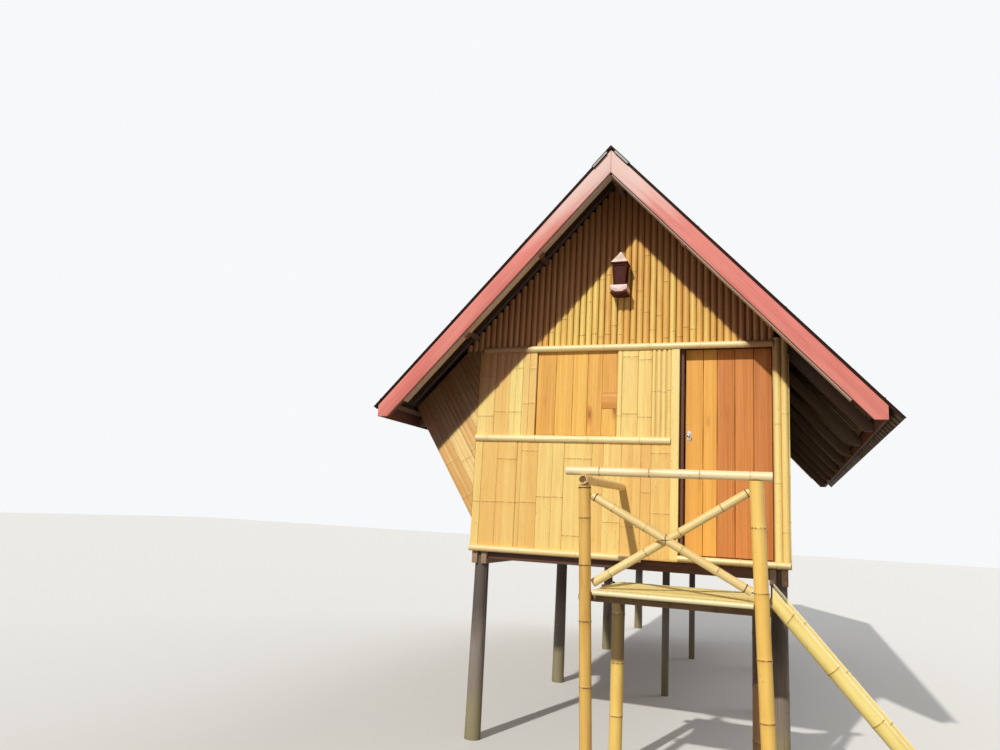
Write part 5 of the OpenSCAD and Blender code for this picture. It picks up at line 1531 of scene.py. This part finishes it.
# Lashings: thin brown cord wound over both diagonals where the braces cross and where the bearers
# meet the back posts, and round the ends of the braces and the left post's head.
def winding(centre, axis, reach_way, reach, side_reach, turns, cord_d, rng):
    """A closed tube along an oval helix: p(t) = centre + pitch * t * axis + reach * c * reach_way +
    side_reach * s * side_way, where c and s are cos t and sin t drawn out towards a rounded box."""
    axis, reach_way = np.array(axis, float), np.array(reach_way, float)
    side_way = np.cross(axis, reach_way)
    t = np.linspace(0, 2 * math.pi * turns, 20 * turns + 1) + rng.uniform(0, 6.28)
    c, s = np.cos(t), np.sin(t)
    c, s = np.sign(c) * np.abs(c) ** 0.8, np.sign(s) * np.abs(s) ** 0.8
    climb = (t - t.mean()) / (2 * math.pi) * cord_d * 1.08 + rng.uniform(-1, 1, 1) * 0.001
    path = (np.array(centre, float) + climb[:, None] * axis + ((reach + cord_d / 2) * c)[:, None] * reach_way
            + ((side_reach + cord_d / 2) * s)[:, None] * side_way)
    run = np.gradient(path, axis=0)
    run = run / np.linalg.norm(run, axis=1, keepdims=True)
    side = np.cross(axis, run)
    side = side / np.linalg.norm(side, axis=1, keepdims=True)
    up = np.cross(run, side)
    turn = np.linspace(0, 2 * math.pi, 7, endpoint=False)
    loops = (path[:, None] + cord_d / 2 * (np.cos(turn)[None, :, None] * side[:, None]
                                           + np.sin(turn)[None, :, None] * up[:, None]))
    distance = np.append(0, np.cumsum(np.linalg.norm(np.diff(path, axis=0), axis=1)))
    distance, round_cord = np.broadcast_arrays(distance[:, None], turn * 0.004)
    grain = np.stack([distance, round_cord, np.zeros(distance.shape)], -1)
    return skin(loops, grain, np.ones(len(t)), rng.uniform())


def lashing(point, first_way, second_way, first_d, second_d, rng, turns, cord_d=0.006):
    """Two windings over the diagonals of the crossing of two culms that touch at the point's sides."""
    first_way, second_way = np.array(first_way, float), np.array(second_way, float)
    first_way, second_way = first_way / np.linalg.norm(first_way), second_way / np.linalg.norm(second_way)
    stacked = np.cross(first_way, second_way)
    stacked = stacked / np.linalg.norm(stacked)
    made = []
    for sign in (-1, 1):
        axis = first_way + sign * second_way
        axis = axis / np.linalg.norm(axis)
        reach = (first_d + second_d) / 2 + 0.001 * sign
        wide = max(first_d / 2 / abs(first_way @ axis), second_d / 2 / abs(second_way @ axis))
        made.append(winding(point, axis, stacked, reach, wide, turns, cord_d, rng))
    return made


cord, tree, shader = new_material("lashing_cord")
grain = attribute(tree, "grain", "Vector")
lay = stretched(tree, grain, (260.0, 900.0, 1.0))
strands = node(tree, "ShaderNodeTexWave", {"Vector": lay, "Scale": 1.0, "Distortion": 0.6}, wave_type="BANDS",
               bands_direction="DIAGONAL").outputs["Fac"]
worn = noise(tree, grain, (30.0, 60.0, 60.0), 3.0)
tone = weighted(tree, (strands, 0.45), (worn, 0.5))
tree.links.new(mixed(tree, tone, (0.060, 0.030, 0.014, 1.0), (0.36, 0.21, 0.11, 1.0)), shader["Base Color"])
shader["Roughness"].default_value = 0.85
bump(tree, strands, 0.0012, shader)
lash_rng = np.random.default_rng(23)
thin_cord_d = 0.0035
lashings = []
for x in (back_post_x, back_right_x):
    outer = np.array([back_post_y - back_post_d / 2 - bearer_d, back_post_y + back_post_d / 2])
    lashings += lashing((x, outer.mean(), bearer_z), (0, 0, 1), (1, 0, 0), back_post_d, bearer_d, lash_rng,
                        turns=3)
falls, climbs = front_brace[1] - front_brace[0], back_brace[1] - back_brace[0]
between_heads = (back_brace[0] - front_brace[0])[[0, 2]]
share = np.linalg.solve(np.stack([falls[[0, 2]], -climbs[[0, 2]]], 1), between_heads)[0]
crossing = front_brace[0] + share * falls + np.array([0.0, (brace_d + seat) / 2, 0.0])
lashings += lashing(crossing, falls, climbs, brace_d, brace_d, lash_rng, turns=2, cord_d=thin_cord_d)
down_brace = falls / np.linalg.norm(falls)
up_brace = climbs / np.linalg.norm(climbs)
for point, axis in ((front_brace[1] - 0.050 * down_brace, down_brace),
                    (front_brace[0] + 0.030 * down_brace, down_brace),
                    (back_brace[1] - 0.025 * up_brace, up_brace)):
    lashings.append(winding(point, axis, (0, 1, 0), brace_d / 2, brace_d / 2, 2, thin_cord_d, lash_rng))
post_axis = np.array([-lean, 0.0, 1.0]) / math.hypot(lean, 1.0)
post_lash_z, post_reach = 2.315, left_post_d / 2 + 0.001
lashings.append(winding((left_foot_x - lean * post_lash_z, left_post_y, post_lash_z), post_axis, (0, 1, 0),
                        post_reach, post_reach, 2, thin_cord_d, lash_rng))
put(mesh_object("lashings", lashings), cord)
